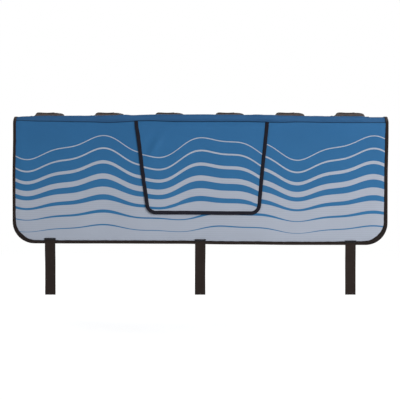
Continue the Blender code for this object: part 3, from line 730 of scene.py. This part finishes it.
def droop(x):
    """How far the sagging ends of the top carry down what is sewn to them beside the cradles."""
    x = np.asarray(x, float)
    return np.clip(along_line(CREST_LINE, x), -MOST_DROOP, 0) * (1 - under_cradle(x, 0.0))


def free_padding(u, v, share):
    """1 where the padding is free, 0 under cradles and straps, and less by a share under the flap."""
    depth = np.clip(-v / FLAP_DROP, 0, 1)
    half = FLAP_TOP_WIDTH / 2 + (FLAP_BOTTOM_WIDTH - FLAP_TOP_WIDTH) / 2 * depth
    off = np.abs(u - FLAP_CENTRE - FLAP_LEAN * depth)
    flap = smooth((half + 0.01 - off) / 0.02) * smooth((v + FLAP_DROP + 0.01) / 0.02) * (v < 0.005)
    return 1 - np.maximum(np.minimum(press_depth(u, v) / SINK, 1), share * flap)


def crest_shift(u, v):
    """How far the top sags below or puffs up above its plain shape. The puff is at the front edge."""
    shift = along_line(CREST_LINE, u)
    across = np.sin(np.clip(v / BEND_LENGTH, 0, 1) * math.pi / 2)
    across = across * np.sin(np.clip((TOP_LENGTH - v) / BEND_LENGTH, 0, 1) * math.pi / 2)
    front = smooth(v / BEND_LENGTH) * smooth((BEND_LENGTH + 0.035 - v) / 0.035)
    return np.minimum(shift, 0) * across + np.maximum(shift, 0) * np.maximum(front, 0.5 * across)


def front_edge(v):
    """1 along the front edge of the top, and 0 at its seam and on its flat part."""
    return smooth((v - 0.003) / (BEND_LENGTH - 0.0075)) * smooth((BEND_LENGTH + 0.0025 - v) / 0.007)


def top_shift(u, v, held=0.0, pressed=0.0):
    """The sag and puff of the top, where its cradles hold it flat and its straps press on it."""
    shift = crest_shift(u, v)
    shift = np.minimum(shift, 0) * (1 - held) + np.maximum(shift, 0) * (1 - pressed)
    return shift + np.maximum(along_line(RIDGE_LINE, u) - shift, 0) * front_edge(v)


def padding_height(u, v, hole):
    """t of the outer cloth before it settles: full in the middle, and pulled in along everything sewn."""
    edge = edge_distance(u, v)
    pressing = press_depth(u, v)
    height = CORE / 2 - EDGE_PINCH * (1 - smooth((edge - EDGE_TAPE_ARM) / EDGE_ROLL))
    for seam in (0.0, TOP_LENGTH):
        height -= SEAM_PINCH * np.exp(-np.abs(v - seam) / SEAM_ROLL) * smooth(edge / 0.02)
    height -= EDGE_PINCH * (1 - smooth((hole - WINDOW_TAPE_ARM) / 0.010))
    tucked = np.exp(-np.maximum(edge - EDGE_TAPE_ARM, 0) / 0.012) + np.exp(-np.abs(v) / 0.012)
    puckers = PUCKER * bumps(u, v, PUCKER_LENGTH, 3) * np.minimum(tucked, 1) * smooth(edge / 0.012)
    waves = UNDULATION * bumps(u, v, 0.19, 5) * smooth(edge / 0.06)
    height += (puckers + waves) * free_padding(u, v, 0.7)
    for spot, depth, width, length in DENTS:
        height -= depth * np.exp(-(((u - spot[0]) / width) ** 2) - ((v - spot[1]) / length) ** 2)
    shift = top_shift(u, v, under_cradle(u, off_middle(v)), np.minimum(pressing / SINK, 1))
    height += shift * (EDGE_SHARE + (1 - EDGE_SHARE) * smooth(edge / 0.03)) - pressing
    return np.maximum(height, -CORE / 2 + LEAST_PADDING)


def cover_rows():
    """v of each row of the cover: close together in the rounded corners and over the top."""
    turn = 1 - np.cos(np.linspace(0, math.pi / 2, 13))
    front, rear = FRONT_END + FRONT_CORNER, REAR_END - REAR_CORNER
    seam = np.array([-0.0042, -0.0016, 0.0, 0.0016, 0.0042])
    return np.concatenate([
        FRONT_END + FRONT_CORNER * turn, np.linspace(front, -CELL, int(-front / CELL))[1:], seam,
        np.linspace(0.008, BEND_LENGTH + 0.004, 10), np.linspace(BEND_LENGTH + 0.008, TOP_LENGTH - CELL, 15),
        TOP_LENGTH + seam, np.linspace(TOP_LENGTH + CELL, rear, int((rear - TOP_LENGTH) / CELL))[:-1],
        REAR_END - REAR_CORNER * turn[::-1],
    ])


def cut_window(u, v, faces, window):
    """Leaves out the faces inside the window and pulls the edge that is left onto its outline."""
    middle_u, middle_v = u[faces].mean(axis=1), v[faces].mean(axis=1)
    gone = within(window, middle_u, middle_v)
    edge = np.intersect1d(faces[gone], faces[~gone])
    outline = resample(window, 0.002, closed=True)
    away = np.hypot(u[edge][:, None] - outline[:, 0], v[edge][:, None] - outline[:, 1])
    u[edge], v[edge] = outline[away.argmin(axis=1)].T
    return faces[~gone]


def build_covers():
    """The face cloth over its foam: settled as one, then split at the seams into front, top and rear."""
    u, v, faces = grid(cover_rows(), np.linspace(-1, 1, int(2 * HALF_WIDTH / CELL)))
    u *= half_width(v) * (1 - COVER_INSET / HALF_WIDTH)
    low, high = near_ends(v)
    v += COVER_INSET * (low - high)
    window = window_outline()
    faces = cut_window(u, v, faces, window)
    hole = distance_to(resample(window, 0.004, closed=True), u, v)
    verts = place(u, v + seam_shift(u, v), padding_height(u, v, hole))
    sewn = np.minimum(edge_distance(u, v) - EDGE_TAPE_ARM, hole - WINDOW_TAPE_ARM)
    pinned = np.maximum(1 - smooth(sewn / CELL), HELD_BY_PADDING)
    pinned[np.minimum(np.abs(v), np.abs(v - TOP_LENGTH)) < 0.002] = 1.0
    verts = limit(verts, settle(verts, faces, pinned, 0.6), u, v)
    pieces = (
        ("front_cover", -1.0, 0.0, "printed_cloth", "front_face", "front_foam"),
        ("top_cover", 0.0, TOP_LENGTH, "blue_cloth", "top_face", "top_foam"),
        ("rear_cover", TOP_LENGTH, 1.0, "rear_cloth", "rear_face", "rear_foam"),
    )
    middle = v[faces].mean(axis=1)
    for name, low, high, look, *nodes in pieces:
        own = faces[(middle > low) & (middle < high)]
        add_cloth(name, verts, own, look, *nodes, layout=joined(u, v))


def capped_at(most, moved):
    """A movement that softly ends at the most allowed."""
    return most * np.tanh(moved / most)


def limit(before, after, u, v):
    """Keeps the settled cloth within a few millimetres of the foam, and flat under what lies on it."""
    out = outward(v)
    moved = after - before
    rise = (moved * out).sum(axis=1)
    capped = capped_at(np.where(rise > 0, MOST_OUT, MOST_IN), rise) * free_padding(u, v, 0.85)
    slide = moved - rise[:, None] * out
    far = np.linalg.norm(slide, axis=1, keepdims=True)
    slide *= capped_at(MOST_ALONG, far) / np.maximum(far, 1e-9)
    return before + capped[:, None] * out + slide


def build_linings():
    """Brushed lining against the tailgate, in three panels with a window in the front one."""
    arm = EDGE_TAPE_ARM - LINING_LAP
    panels = (
        ("front_backing", FRONT_END + arm, 0.0, "front_lining", 0.0, WINDOW_AREA),
        ("top_backing", 0.0, TOP_LENGTH, "top_lining", -math.pi * LINING_HEIGHT, 0.0),
        ("rear_backing", TOP_LENGTH, REAR_END - arm, "rear_lining", 0.0, 0.0),
    )
    window = resample(window_outline(), 0.004, closed=True)
    window = window + edge_normals(window, True) * (WINDOW_TAPE_ARM - LINING_LAP)
    for name, low, high, node, turned, opening in panels:
        rows = np.linspace(low, high, max(int((high - low) / 0.008), 14))
        u, v, faces = grid(rows, np.linspace(-1, 1, 180))
        u *= half_width(v) - arm
        if opening:
            faces = cut_window(u, v, faces, window)
        height = LINING_HEIGHT + 0.0003 * bumps(u, v, 0.07, 11) * smooth(edge_distance(u, v) / 0.04)
        placed = place(u, v, height)
        obj = add_cloth(name, placed, faces, "lining", node, layout=joined(u, v), levels=0)


def tape_loop(name, path, low, high, arm, look, node, seed, closed=True):
    """Tape folded round an edge, from t low to t high, with the slight waver of real sewing."""
    normals = edge_normals(path, closed)
    far = travelled(path)
    arms = (arm + 0.0004 * bumps(far, 0 * far, 0.045, seed))[:, None]
    middle = ((low + high) / 2 + 0.00025 * bumps(far, 0 * far, 0.030, seed + 1))[:, None]
    half = ((high - low) / 2)[:, None] + TAPE_BUILD
    angles = np.linspace(math.pi / 2, -math.pi / 2, 9)
    outs, heights = [], []
    for inset, way in ((0.0, 1), (TAPE_THICKNESS, -1)):
        roll = np.minimum(half, 0.004) - inset
        out = TAPE_BUILD - inset - roll * (1 - np.cos(angles))
        height = middle + (half - inset) * power(np.sin(angles), 0.8)
        first, last = height[:, :1], height[:, -1:]
        outs.append(np.hstack([-arms, -arms * 0.55, out, -arms * 0.55, -arms])[:, ::way])
        heights.append(np.hstack([first, first, height, last, last])[:, ::way])
    out, height = np.hstack(outs), np.hstack(heights)
    verts = place(path[:, :1] + out * normals[:, :1], path[:, 1:] + out * normals[:, 1:], height)
    around = np.concatenate([np.linspace(-1, 1, 13), np.linspace(1, -1, 13)]) * arms
    faces = quads(*out.shape, round_rows=closed, round_columns=True)[:, ::-1]
    add_mesh(name, verts, faces, look, node, uv=joined(far[:, None], around))


def power(x, exponent):
    """A power that keeps the sign."""
    return np.sign(x) * np.abs(x) ** exponent


def sewn_line(path, closed, inset, height):
    """A line of stitches a distance inside an edge, as points and the directions that they face."""
    normals = edge_normals(path, closed)
    u, v = (path - normals * np.reshape(inset, (-1, 1))).T
    return place(u, v, height), outward(v)


def stitches(name, lines, look, slot, pitch=STITCH_PITCH, length=STITCH_LENGTH, radius=THREAD):
    """Single stitches along lines. Each line is its points and the directions that they face."""
    angles = np.arange(5) * 2 * math.pi / 5
    ends = length * np.array([-0.5, -0.32, 0.32, 0.5])[:, None]
    thick = radius * np.array([0.35, 1, 1, 0.35])[:, None]
    template = joined(ends, thick * np.cos(angles), thick * np.sin(angles)).reshape(-1, 3)
    single = tube_faces(4, 5)
    verts, faces = [], []
    for points, directions in lines:
        both = resample(np.hstack([points, directions]), pitch)
        spots, up = both[:, :3], both[:, 3:]
        up = up / np.linalg.norm(up, axis=1, keepdims=True)
        ahead = tangents(spots)
        for spot, *axes in zip(spots, ahead, np.cross(up, ahead), up):
            faces += [tuple(i + len(verts) * len(template) for i in f) for f in single]
            verts.append(spot + template @ np.array(axes))
    add_mesh(name, np.concatenate(verts), faces, look, slot=slot)


def build_bindings():
    """Tape round the pad's whole edge, with its stitches, and round the window."""
    path = resample(perimeter(), BAND_STEP, closed=True)
    low = np.full(len(path), -CORE / 2 + TAPE_BUILD)
    high = CORE / 2 - EDGE_PINCH + EDGE_SHARE * top_shift(*path.T)
    u, v = path.T
    corner = np.exp(-(((np.abs(u) - HALF_WIDTH + 0.026) / 0.05) ** 2) - ((v - FRONT_END - 0.026) / 0.05) ** 2)
    arms = EDGE_TAPE_ARM - 0.0012 * smooth((v - FRONT_END) / 0.3) + 0.0045 * corner
    arms += 0.0004 * smooth((FRONT_END + 0.03 - v) / 0.02)
    arms += 0.0025 * smooth((u - 0.5) / 0.25) * smooth(-v / 0.08)
    tape_loop("edge_band", path, low, high, arms, "binding_tape", "edge_binding", 21)
    window = resample(window_outline(), BAND_STEP, closed=True)[::-1]
    sizes = low[: len(window)], np.full(len(window), CORE / 2 - EDGE_PINCH), WINDOW_TAPE_ARM
    tape_loop("window_band", window, *sizes, "binding_tape", "window_binding", 31)
    outer = sewn_line(path, True, arms - STITCH_INSET, high + TAPE_BUILD + STITCH_LIFT)
    inner = sewn_line(path, True, arms - STITCH_INSET, -CORE / 2 - STITCH_LIFT)
    stitches("edge_stitching", [outer, (inner[0], -inner[1])], "dark_thread", "binding_tape")


def flap_height(u, v):
    """t of the flap's outer cloth: in the seam at its top, then lying over the front panel with a soft fold."""
    du, dv = u - FOLD_SPOT[0], v - FOLD_SPOT[1]
    along, across = du * FOLD_TURN[0] + dv * FOLD_TURN[1], du * FOLD_TURN[1] - dv * FOLD_TURN[0]
    fold_height = FOLD_HEIGHT * np.exp(-((across / 0.015) ** 2))
    fold_height = fold_height - FOLD_DIP * np.exp(-(((across + 0.034) / 0.016) ** 2))
    lift = smooth((-v - FLAP_DROP + 0.07) / 0.07) * (0.0012 + 0.0022 * smooth((0.02 - u) / 0.25))
    lying = FLAP_HEIGHT + 0.0007 * bumps(u, v, 0.14, 41) + fold_height * np.exp(-((along / 0.050) ** 2)) + lift
    down = smooth(-v / 0.024)
    return (CORE / 2 - SEAM_PINCH + 0.0018) * (1 - down) + lying * down


def build_flap():
    """The access flap: printed cloth, its lining and the darker tape on three sides."""
    outline = flap_outline()
    left, right = np.split(outline, 2)
    low = left[:, 1].min()
    turned = np.sort(left[left[:, 1] < low + FLAP_CORNER, 1])
    rows = np.concatenate([turned[::2], np.linspace(low + FLAP_CORNER, -FIT_GAP, 42)[1:]])
    share, v, faces = grid(rows, np.linspace(0, 1, 66))
    start = np.interp(v, left[::-1, 1], left[::-1, 0])
    end = np.interp(v, right[:, 1], right[:, 0])
    u = start + share * (end - start)
    verts = place(u, v + seam_shift(u, v), flap_height(u, v))
    edge = distance_to(resample(outline, 0.004), u, v)
    pinned = np.maximum(1 - smooth((edge - FLAP_TAPE_ARM) / CELL), FLAP_HELD)
    pinned[v > -0.004] = 1.0
    moved = settle(verts, faces, pinned, 0.4) - verts
    rise = np.maximum((moved * outward(v)).sum(axis=1), -0.0004)
    verts = verts + capped_at(MOST_FLAP_OUT, rise)[:, None] * outward(v)
    pieces = (
        ("flap_cover", 0.0, 1, "flap_cloth", "printed_cloth", "flap_face"),
        ("flap_backing", CLOTH + FIT_GAP, 0, "lining", "lining", "flap_lining"),
    )
    for name, behind, levels, look, slot, node in pieces:
        placed = verts - behind * outward(v)
        obj = add_cloth(name, placed, faces, look, node, layout=joined(u, v), slot=slot, levels=levels)
    path = resample(outline, BAND_STEP)
    high = flap_height(*path.T)
    low = high - 2 * CLOTH - FIT_GAP
    path[:, 1] += seam_shift(*path.T)
    tape_loop("flap_band", path, low, high, FLAP_TAPE_ARM, "flap_tape", "flap_binding", 51, closed=False)
    sewn = sewn_line(path, False, FLAP_TAPE_ARM - STITCH_INSET, high + TAPE_BUILD + STITCH_LIFT)
    stitches("flap_stitching", [sewn], "navy_thread", "flap_tape")


def ribbon(name, points, side, width, thickness, node):
    """Webbing along a line of points, flat across the given direction, with its edges slightly rounded."""
    points = np.asarray(points, float)
    side = np.asarray(side, float)
    up = np.cross(tangents(points), side)
    up /= np.linalg.norm(up, axis=1, keepdims=True)
    across = np.array([-1, -0.985, -0.93, -0.5, 0, 0.5, 0.93, 0.985, 1]) * width / 2
    full = np.array([0.45, 0.8, 1, 1, 1, 1, 1, 0.8, 0.45]) * thickness / 2
    across = np.concatenate([across, across[::-1]])
    full = np.concatenate([full, -full])
    verts = points[:, None] + across[None, :, None] * side + full[None, :, None] * up[:, None]
    layout = joined(travelled(points)[:, None], across)
    add_mesh(name, verts, tube_faces(*verts.shape[:2]), "webbing", node, uv=layout)


def box_stitch(low, high, direction, at):
    """A sewn box with a cross in it, on a plane. at turns its two coordinates into a place."""
    (a, b), (c, d) = low, high
    loops = ([*rectangle(a, b, c, d), (a, b)], [(a, b), (c, d)], [(a, d), (c, b)])
    lines = [np.array([at(x, y) for x, y in resample(loop, 0.002)]) for loop in loops]
    return [facing(points, direction) for points in lines]


def facing(points, direction):
    """A line for stitches that all face one way."""
    return points, np.broadcast_to(np.array(direction, float), points.shape)


def build_hanging_straps():
    """Straps sewn over the band at the bottom edge, hanging straight down to a folded hem."""
    lines, tacks = [], []
    lift = STRAP_THICKNESS / 2 + STITCH_LIFT
    for number, side in enumerate(SIDES):
        low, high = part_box(f"hanging_strap_{side}")
        middle, width = (low.x + high.x) / 2, high.x - low.x + 0.0012
        sewn = -(HALF_GAP + CORE - EDGE_PINCH + TAPE_BUILD + 0.0012)
        hang = (low.y + high.y) / 2
        top = high.z + float(along_line(STRAP_TOP_LINE, middle))
        z = np.linspace(top, low.z + 0.002, 60)
        share = smooth((top - 0.02 - z) / 0.10)
        y = sewn + (hang - sewn + 0.0012 * bumps(z, 0 * z + number, 0.20, 61 + number)) * share
        x = middle + 0.0008 * share * bumps(z, 0 * z + number, 0.35, 71)
        turn = np.linspace(0, math.pi, 8)[1:]
        turned = joined(x[-1], y[-1] + lift * (1 - np.cos(turn)), z[-1] - lift * np.sin(turn))
        back = joined(x[-1], y[-1] + 2 * lift, np.linspace(z[-1], z[-1] + 0.009, 5)[1:])
        points = np.vstack([joined(x, y, z), turned, back])
        ribbon(f"strap_{side}", points, (1, 0, 0), width, STRAP_THICKNESS, f"hanging_strap_{side}")
        for row_y, row_z in ((y[-5], z[-1] + 0.0075), (sewn, top - 0.010), (sewn, top - 0.0135)):
            lines.append(facing(level_line(middle, width / 2 - 0.002, row_y - lift, row_z), (0, -1, 0)))
        tacks.append(level_line(middle, width / 2 + 0.001, sewn - 0.0008, top - 0.0022))
    stitches("strap_stitching", lines, "dark_thread", "webbing")
    bar_tacks("strap_tacks", tacks)


def level_line(middle, half, y, z):
    """A line across a strap."""
    return joined(middle + np.linspace(-half, half, 30), y, z)


def bar_tacks(name, lines):
    """Close, upright stitches side by side along each line, as where webbing is tacked down."""
    half = np.array([0, 0, 0.0024])
    spots = np.concatenate([resample(line, 0.0009) for line in lines])
    upright = [facing(np.array([spot - half, spot + half]), (0, -1, 0)) for spot in spots]
    stitches(name, upright, "black_thread", "webbing", pitch=0.0048, length=0.0046, radius=0.0005)


def shoulders(low, high, left, right, steps):
    """Places from low to high and a height from 0 to 1 at each, rounded over a length at both ends."""
    bend = np.linspace(0, math.pi / 2, steps)
    a, b = low + left, high - right
    places = [a - left * np.cos(bend), np.linspace(a, b, 33)[1:-1], (b + right * np.cos(bend))[::-1]]
    return np.concatenate(places), np.concatenate([np.sin(bend), np.ones(31), np.sin(bend)[::-1]])


def build_cradle(number):
    """A moulded cushion: steep at its left, sloped at its right, with a groove and grip ribs for the tube."""
    low, high = CRADLES[number - 1]
    left, rise_length, fall_length, edge, dip = low.x - 0.004, 0.014, 0.034, 0.002, 0.0014
    base, height = low.z - SINK, high.z - low.z
    x, share = shoulders(left, high.x, rise_length, fall_length, 9)
    a, b = left + rise_length, high.x - fall_length
    groove = dip * np.cos(np.clip((x - (a + b) / 2) / (b - a), -0.5, 0.5) * math.pi) ** 2
    profile = edge + (height - edge) * share - groove
    half = (high.y - low.y) / 2
    y, rise = shoulders(-half, half, 0.012, 0.012, 8)
    ribs = 0.0005 * np.cos(y / 0.0058 * math.pi * 2) * (rise > 0.99)
    top = edge + (profile - edge) * rise[:, None] + ribs[:, None] * (share > 0.99)
    squeeze = 1 - 0.06 * (1 - rise[:, None]) * ((x - x.mean()) / (x[-1] - x.mean())) ** 2
    upper = joined(x.mean() + (x - x.mean()) * squeeze, y[:, None], base + top)
    lower = upper[:, ::-1].copy()
    lower[..., 2] = base
    verts = np.concatenate([upper, lower], axis=1)
    faces = [f[::-1] for f in tube_faces(*verts.shape[:2])]
    obj = add_mesh(f"cradle_{number}", verts, faces, "cradle_rubber", f"tube_cradle_{number}")
    obj.data.set_sharp_from_angle(angle=math.radians(50))
    return x, base + profile


def arc(centre, radius, start, end, steps=12):
    """Points of an arc between two angles in degrees."""
    angles = np.radians(np.linspace(start, end, steps + 1))
    return joined(centre[0] + radius * np.cos(angles), centre[1] + radius * np.sin(angles))


def build_tube_hardware(number, crest):
    """The strap over one cradle, through its ring and back on itself, with the ring and its tab."""
    thickness = TUBE_STRAP_THICKNESS
    low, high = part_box(f"tube_strap_{number}")
    ring_low, ring_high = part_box(f"tube_ring_{number}")
    near, far = ring_high.x - 0.002, ring_low.x + 0.002
    floor = low.z - TUCK + thickness / 2
    turn = (RING_BAR + thickness) / 2 + STRAP_CLEARANCE
    ring_z = floor + turn
    x, z = crest
    over = joined(x, z + FIT_GAP + thickness / 2 + STRAP_CLEARANCE)
    end = over[-1, 0] + thickness
    foot = joined(np.linspace(high.x, end, 10), floor)
    tail = over + (0, thickness + FIT_GAP)
    tail = tail[(tail[:, 0] < (x[0] + x[-1]) / 2 + 0.020) & (tail[:, 1] > ring_z + turn + 0.0005)]
    before_ring = [(over[0, 0] - 0.0012, floor)]
    strap = np.vstack([foot, over[::-1], before_ring, arc((near, ring_z), turn, 270, 90), tail])
    start = PRESSED[number - 1][0]
    upper = floor + thickness + FIT_GAP
    held = arc((far, ring_z), turn, 270, 490)
    tab = np.vstack([[(start, floor), (far, floor)], held, [(far - 0.007, upper), (start, upper)]])
    width = high.y - low.y
    pieces = (("over_strap", strap, 0.0022, 2, "tube_strap"), ("ring_holder", tab, 0.0018, 1, "ring_tab"))
    for name, line, step, times, node in pieces:
        x, z = smoothed(resample(line, step), times).T
        points = joined(x, 0.0, z + droop(x))
        ribbon(f"{name}_{number}", points, (0, 1, 0), width, thickness, f"{node}_{number}")
    half_x, half_y, _ = (ring_high - ring_low) / 2
    verts, faces = rounded_frame(half_x, half_y, 0.004, 0.0035, RING_BAR)
    verts = verts + ((near + far) / 2, 0, ring_z)
    verts[:, 2] += droop(verts[:, 0])
    add_mesh(f"ring_{number}", verts, faces, "moulded_plastic", f"tube_ring_{number}")
    side = width / 2 - 0.004
    lines = []
    sewn = ((high.x - 0.0155, high.x - 0.002, floor), (start + 0.002, start + 0.0135, upper))
    for left, right, level in sewn:
        level += thickness / 2 + STITCH_LIFT
        corners = (left, -side), (right, side)
        lines += box_stitch(*corners, (0, 0, 1), lambda a, b: (a, b, level + float(droop(a))))
    return lines


def smoothed(line, times):
    """Rounds the kinks of a line, and keeps its ends."""
    line = line.copy()
    for _ in range(times):
        line[1:-1] = (line[:-2] + 2 * line[1:-1] + line[2:]) / 4
    return line


def rounded_frame(half_x, half_y, bar, corner, across):
    """A rounded rectangular ring that lies flat, as points round its middle and faces."""
    a, b = half_x - bar / 2, half_y - bar / 2
    path = resample(rounded(rectangle(-a, -b, a, b), [corner] * 4, steps=6), 0.002, closed=True)
    normals = edge_normals(path, True)
    angles = np.arange(12) * math.pi / 6
    out = power(np.cos(angles), 0.7) * bar / 2
    up = power(np.sin(angles), 0.7) * across / 2
    x, y = (path[:, None] + normals[:, None] * out[None, :, None]).transpose(2, 0, 1)
    faces = quads(len(path), 12, round_rows=True, round_columns=True)[:, ::-1]
    return joined(x, y, up).reshape(-1, 3), faces


def build_cradles():
    """The cradles with their straps, rings and tabs, and the stitches of these."""
    lines = []
    for number in range(1, len(CRADLES) + 1):
        lines += build_tube_hardware(number, build_cradle(number))
    stitches("cradle_stitching", lines, "dark_thread", "webbing", pitch=0.0036, length=0.0027)


def build_buckles():
    """Ladder-lock buckles in the truck bed, each held by a folded loop of webbing."""
    lines = []
    for side in SIDES:
        low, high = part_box(f"buckle_{side}")
        wide, depth, tall = high - low
        verts, faces = rounded_frame(wide / 2, tall / 2, BUCKLE_FRAME, 0.004, depth)
        parts, faces = [verts], [tuple(f) for f in faces]
        upper_bar = tall / 2 - BUCKLE_FRAME - BUCKLE_SLOT - CROSS_BAR
        for bar_y in (upper_bar, upper_bar - 0.011):
            start = sum(len(p) for p in parts)
            parts.append(cross_bar(wide / 2 - 0.004, CROSS_BAR, depth / 2) + (0, bar_y, 0))
            faces += [tuple(i + start for i in f) for f in tube_faces(9, 12)]
        verts = np.concatenate(parts)[:, [0, 2, 1]] + np.array((low + high) / 2)
        faces = [f[::-1] for f in faces]
        add_mesh(f"ladder_lock_{side}", verts, faces, "moulded_plastic", f"buckle_{side}")
        lines += build_buckle_loop(side)
    stitches("loop_stitching", lines, "dark_thread", "webbing")


def cross_bar(half, radius, depth):
    """Points of a bar between a buckle's slots."""
    angles = np.arange(12) * math.pi / 6
    x = np.linspace(-half, half, 9)[:, None]
    return joined(x, radius * np.cos(angles), depth * np.sin(angles)).reshape(-1, 3)


def build_buckle_loop(side):
    """The webbing that holds a buckle. Gives the lines of its box stitch."""
    low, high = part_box(f"buckle_loop_{side}")
    buckle_low, buckle_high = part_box(f"buckle_{side}")
    inner = HALF_GAP + CORE - EDGE_PINCH + TAPE_BUILD + STRAP_THICKNESS / 2
    outer = inner + 0.0021
    middle_y, bar_z = (buckle_low.y + buckle_high.y) / 2, buckle_high.z - BUCKLE_FRAME / 2
    radius = bar_z - low.z - STRAP_THICKNESS / 2
    top = high.z
    line = np.vstack([
        [(inner, top), (inner, top - 0.03), (middle_y - radius, bar_z + 2.5 * radius)],
        arc((middle_y, bar_z), radius, 180, 360),
        [(middle_y + radius, bar_z + 2.5 * radius), (outer, top - 0.03), (outer, top)],
    ])
    y, z = smoothed(resample(line, 0.002), 2).T
    x, width = (low.x + high.x) / 2, high.x - low.x
    ribbon(f"loop_{side}", joined(x, y, z), (1, 0, 0), width, STRAP_THICKNESS, f"buckle_loop_{side}")
    half = width / 2 - 0.004
    depth = outer + STRAP_THICKNESS / 2 + STITCH_LIFT
    return box_stitch((x - half, top - 0.026), (x + half, top - 0.003), (0, 1, 0), lambda a, b: (a, depth, b))


def dress_patches():
    """The hook and loop patches behind the flap keep their CAD shape, with a looped pile."""
    for name in ("hook_patch_left", "hook_patch_right", "loop_patch_left", "loop_patch_right"):
        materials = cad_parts[name].data.materials
        materials.clear()
        materials.append(LOOKS["hook_tape"])


def add_light(name, spot, target, size, power):
    data = bpy.data.lights.new(name, "AREA")
    data.shape = "RECTANGLE"
    data.size, data.size_y = size
    data.energy = power
    obj = bpy.data.objects.new(name, data)
    obj.location = spot
    obj.rotation_euler = (Vector(target) - Vector(spot)).to_track_quat("-Z", "Y").to_euler()
    bpy.context.scene.collection.objects.link(obj)


def build_stage():
    """Floor, lights, a world that the camera sees as white, and the camera at the photo's place."""
    scene = bpy.context.scene
    mesh = bpy.data.meshes.new("floor")
    mesh.from_pydata([(x, y, FLOOR_Z) for x, y in rectangle(-30, -30, 30, 30)], [], [(0, 1, 2, 3)])
    mesh.materials.append(stage_material())
    floor = bpy.data.objects.new("floor", mesh)
    scene.collection.objects.link(floor)
    middle = (0, 0, -0.3)
    add_light("key", (2.7, -3.5, 1.1), middle, (1.8, 1.8), 124)
    add_light("fill", (-2.8, -3.4, 0.4), middle, (2.2, 2.2), 10)
    add_light("bed_side", (-1.5, 3.4, 1.4), middle, (2.4, 2.4), 85)
    scene.world = bpy.data.worlds.new("studio")
    scene.world.use_nodes = True
    tree = scene.world.node_tree
    light = tree.nodes["Background"]
    light.inputs["Color"].default_value = (1, 1, 1, 1)
    light.inputs["Strength"].default_value = 0.38
    white = add_node(tree, "Background", {"Color": (1, 1, 1, 1)})
    shown = add_node(tree, "MixShader", {0: seen_directly(tree), 1: light.outputs[0], 2: white})
    tree.links.new(shown, tree.nodes["World Output"].inputs[0])
    scene.view_settings.view_transform = "Standard"
    camera = bpy.data.objects.new("camera", bpy.data.cameras.new("camera"))
    angle = math.radians(CAMERA_ELEVATION)
    camera.location = AIM + CAMERA_DISTANCE * Vector((0, -math.cos(angle), math.sin(angle)))
    camera.rotation_euler = (math.pi / 2 - angle, 0, 0)
    camera.data.lens = camera.data.sensor_width * CAMERA_DISTANCE / FRAME_WIDTH
    scene.collection.objects.link(camera)
    scene.camera = camera


def seen_directly(tree):
    """1 for what the camera sees itself, or in a gloss or through glass."""
    total = 0.0
    for name in ("Is Camera Ray", "Is Glossy Ray", "Is Transmission Ray"):
        ray = add_node(tree, "LightPath", {}, name)
        total = add_node(tree, "Math", {0: total, 1: ray}, operation="MAXIMUM")
    return total


def stage_material():
    """A pale floor. The camera sees it as white, less the object's shadow, and plain white far away."""
    made = bpy.data.materials.new("pale_floor")
    made.use_nodes = True
    tree = made.node_tree
    shader = tree.nodes["Principled BSDF"]
    shader.inputs["Base Color"].default_value = (0.80, 0.80, 0.80, 1)
    shader.inputs["Roughness"].default_value = 0.9
    glow = add_node(tree, "Emission", {"Strength": 0.42})
    near = add_node(tree, "AddShader", {0: shader.outputs[0], 1: glow})
    spot = add_node(tree, "TexCoord", {}, "Object")
    far = add_node(tree, "VectorMath", {0: spot}, "Value", operation="LENGTH")
    ends = {"Value": far, "From Min": 1.2, "From Max": 4.0}
    fade = add_node(tree, "MapRange", ends, interpolation_type="SMOOTHSTEP")
    shown = add_node(tree, "MixShader", {0: fade, 1: near, 2: add_node(tree, "Emission", {})})
    mix = add_node(tree, "MixShader", {0: seen_directly(tree), 1: shader.outputs[0], 2: shown})
    tree.links.new(mix, tree.nodes["Material Output"].inputs[0])
    return made


def main():
    build_covers()
    build_linings()
    build_bindings()
    build_flap()
    build_hanging_straps()
    build_cradles()
    build_buckles()
    dress_patches()
    build_stage()


main()
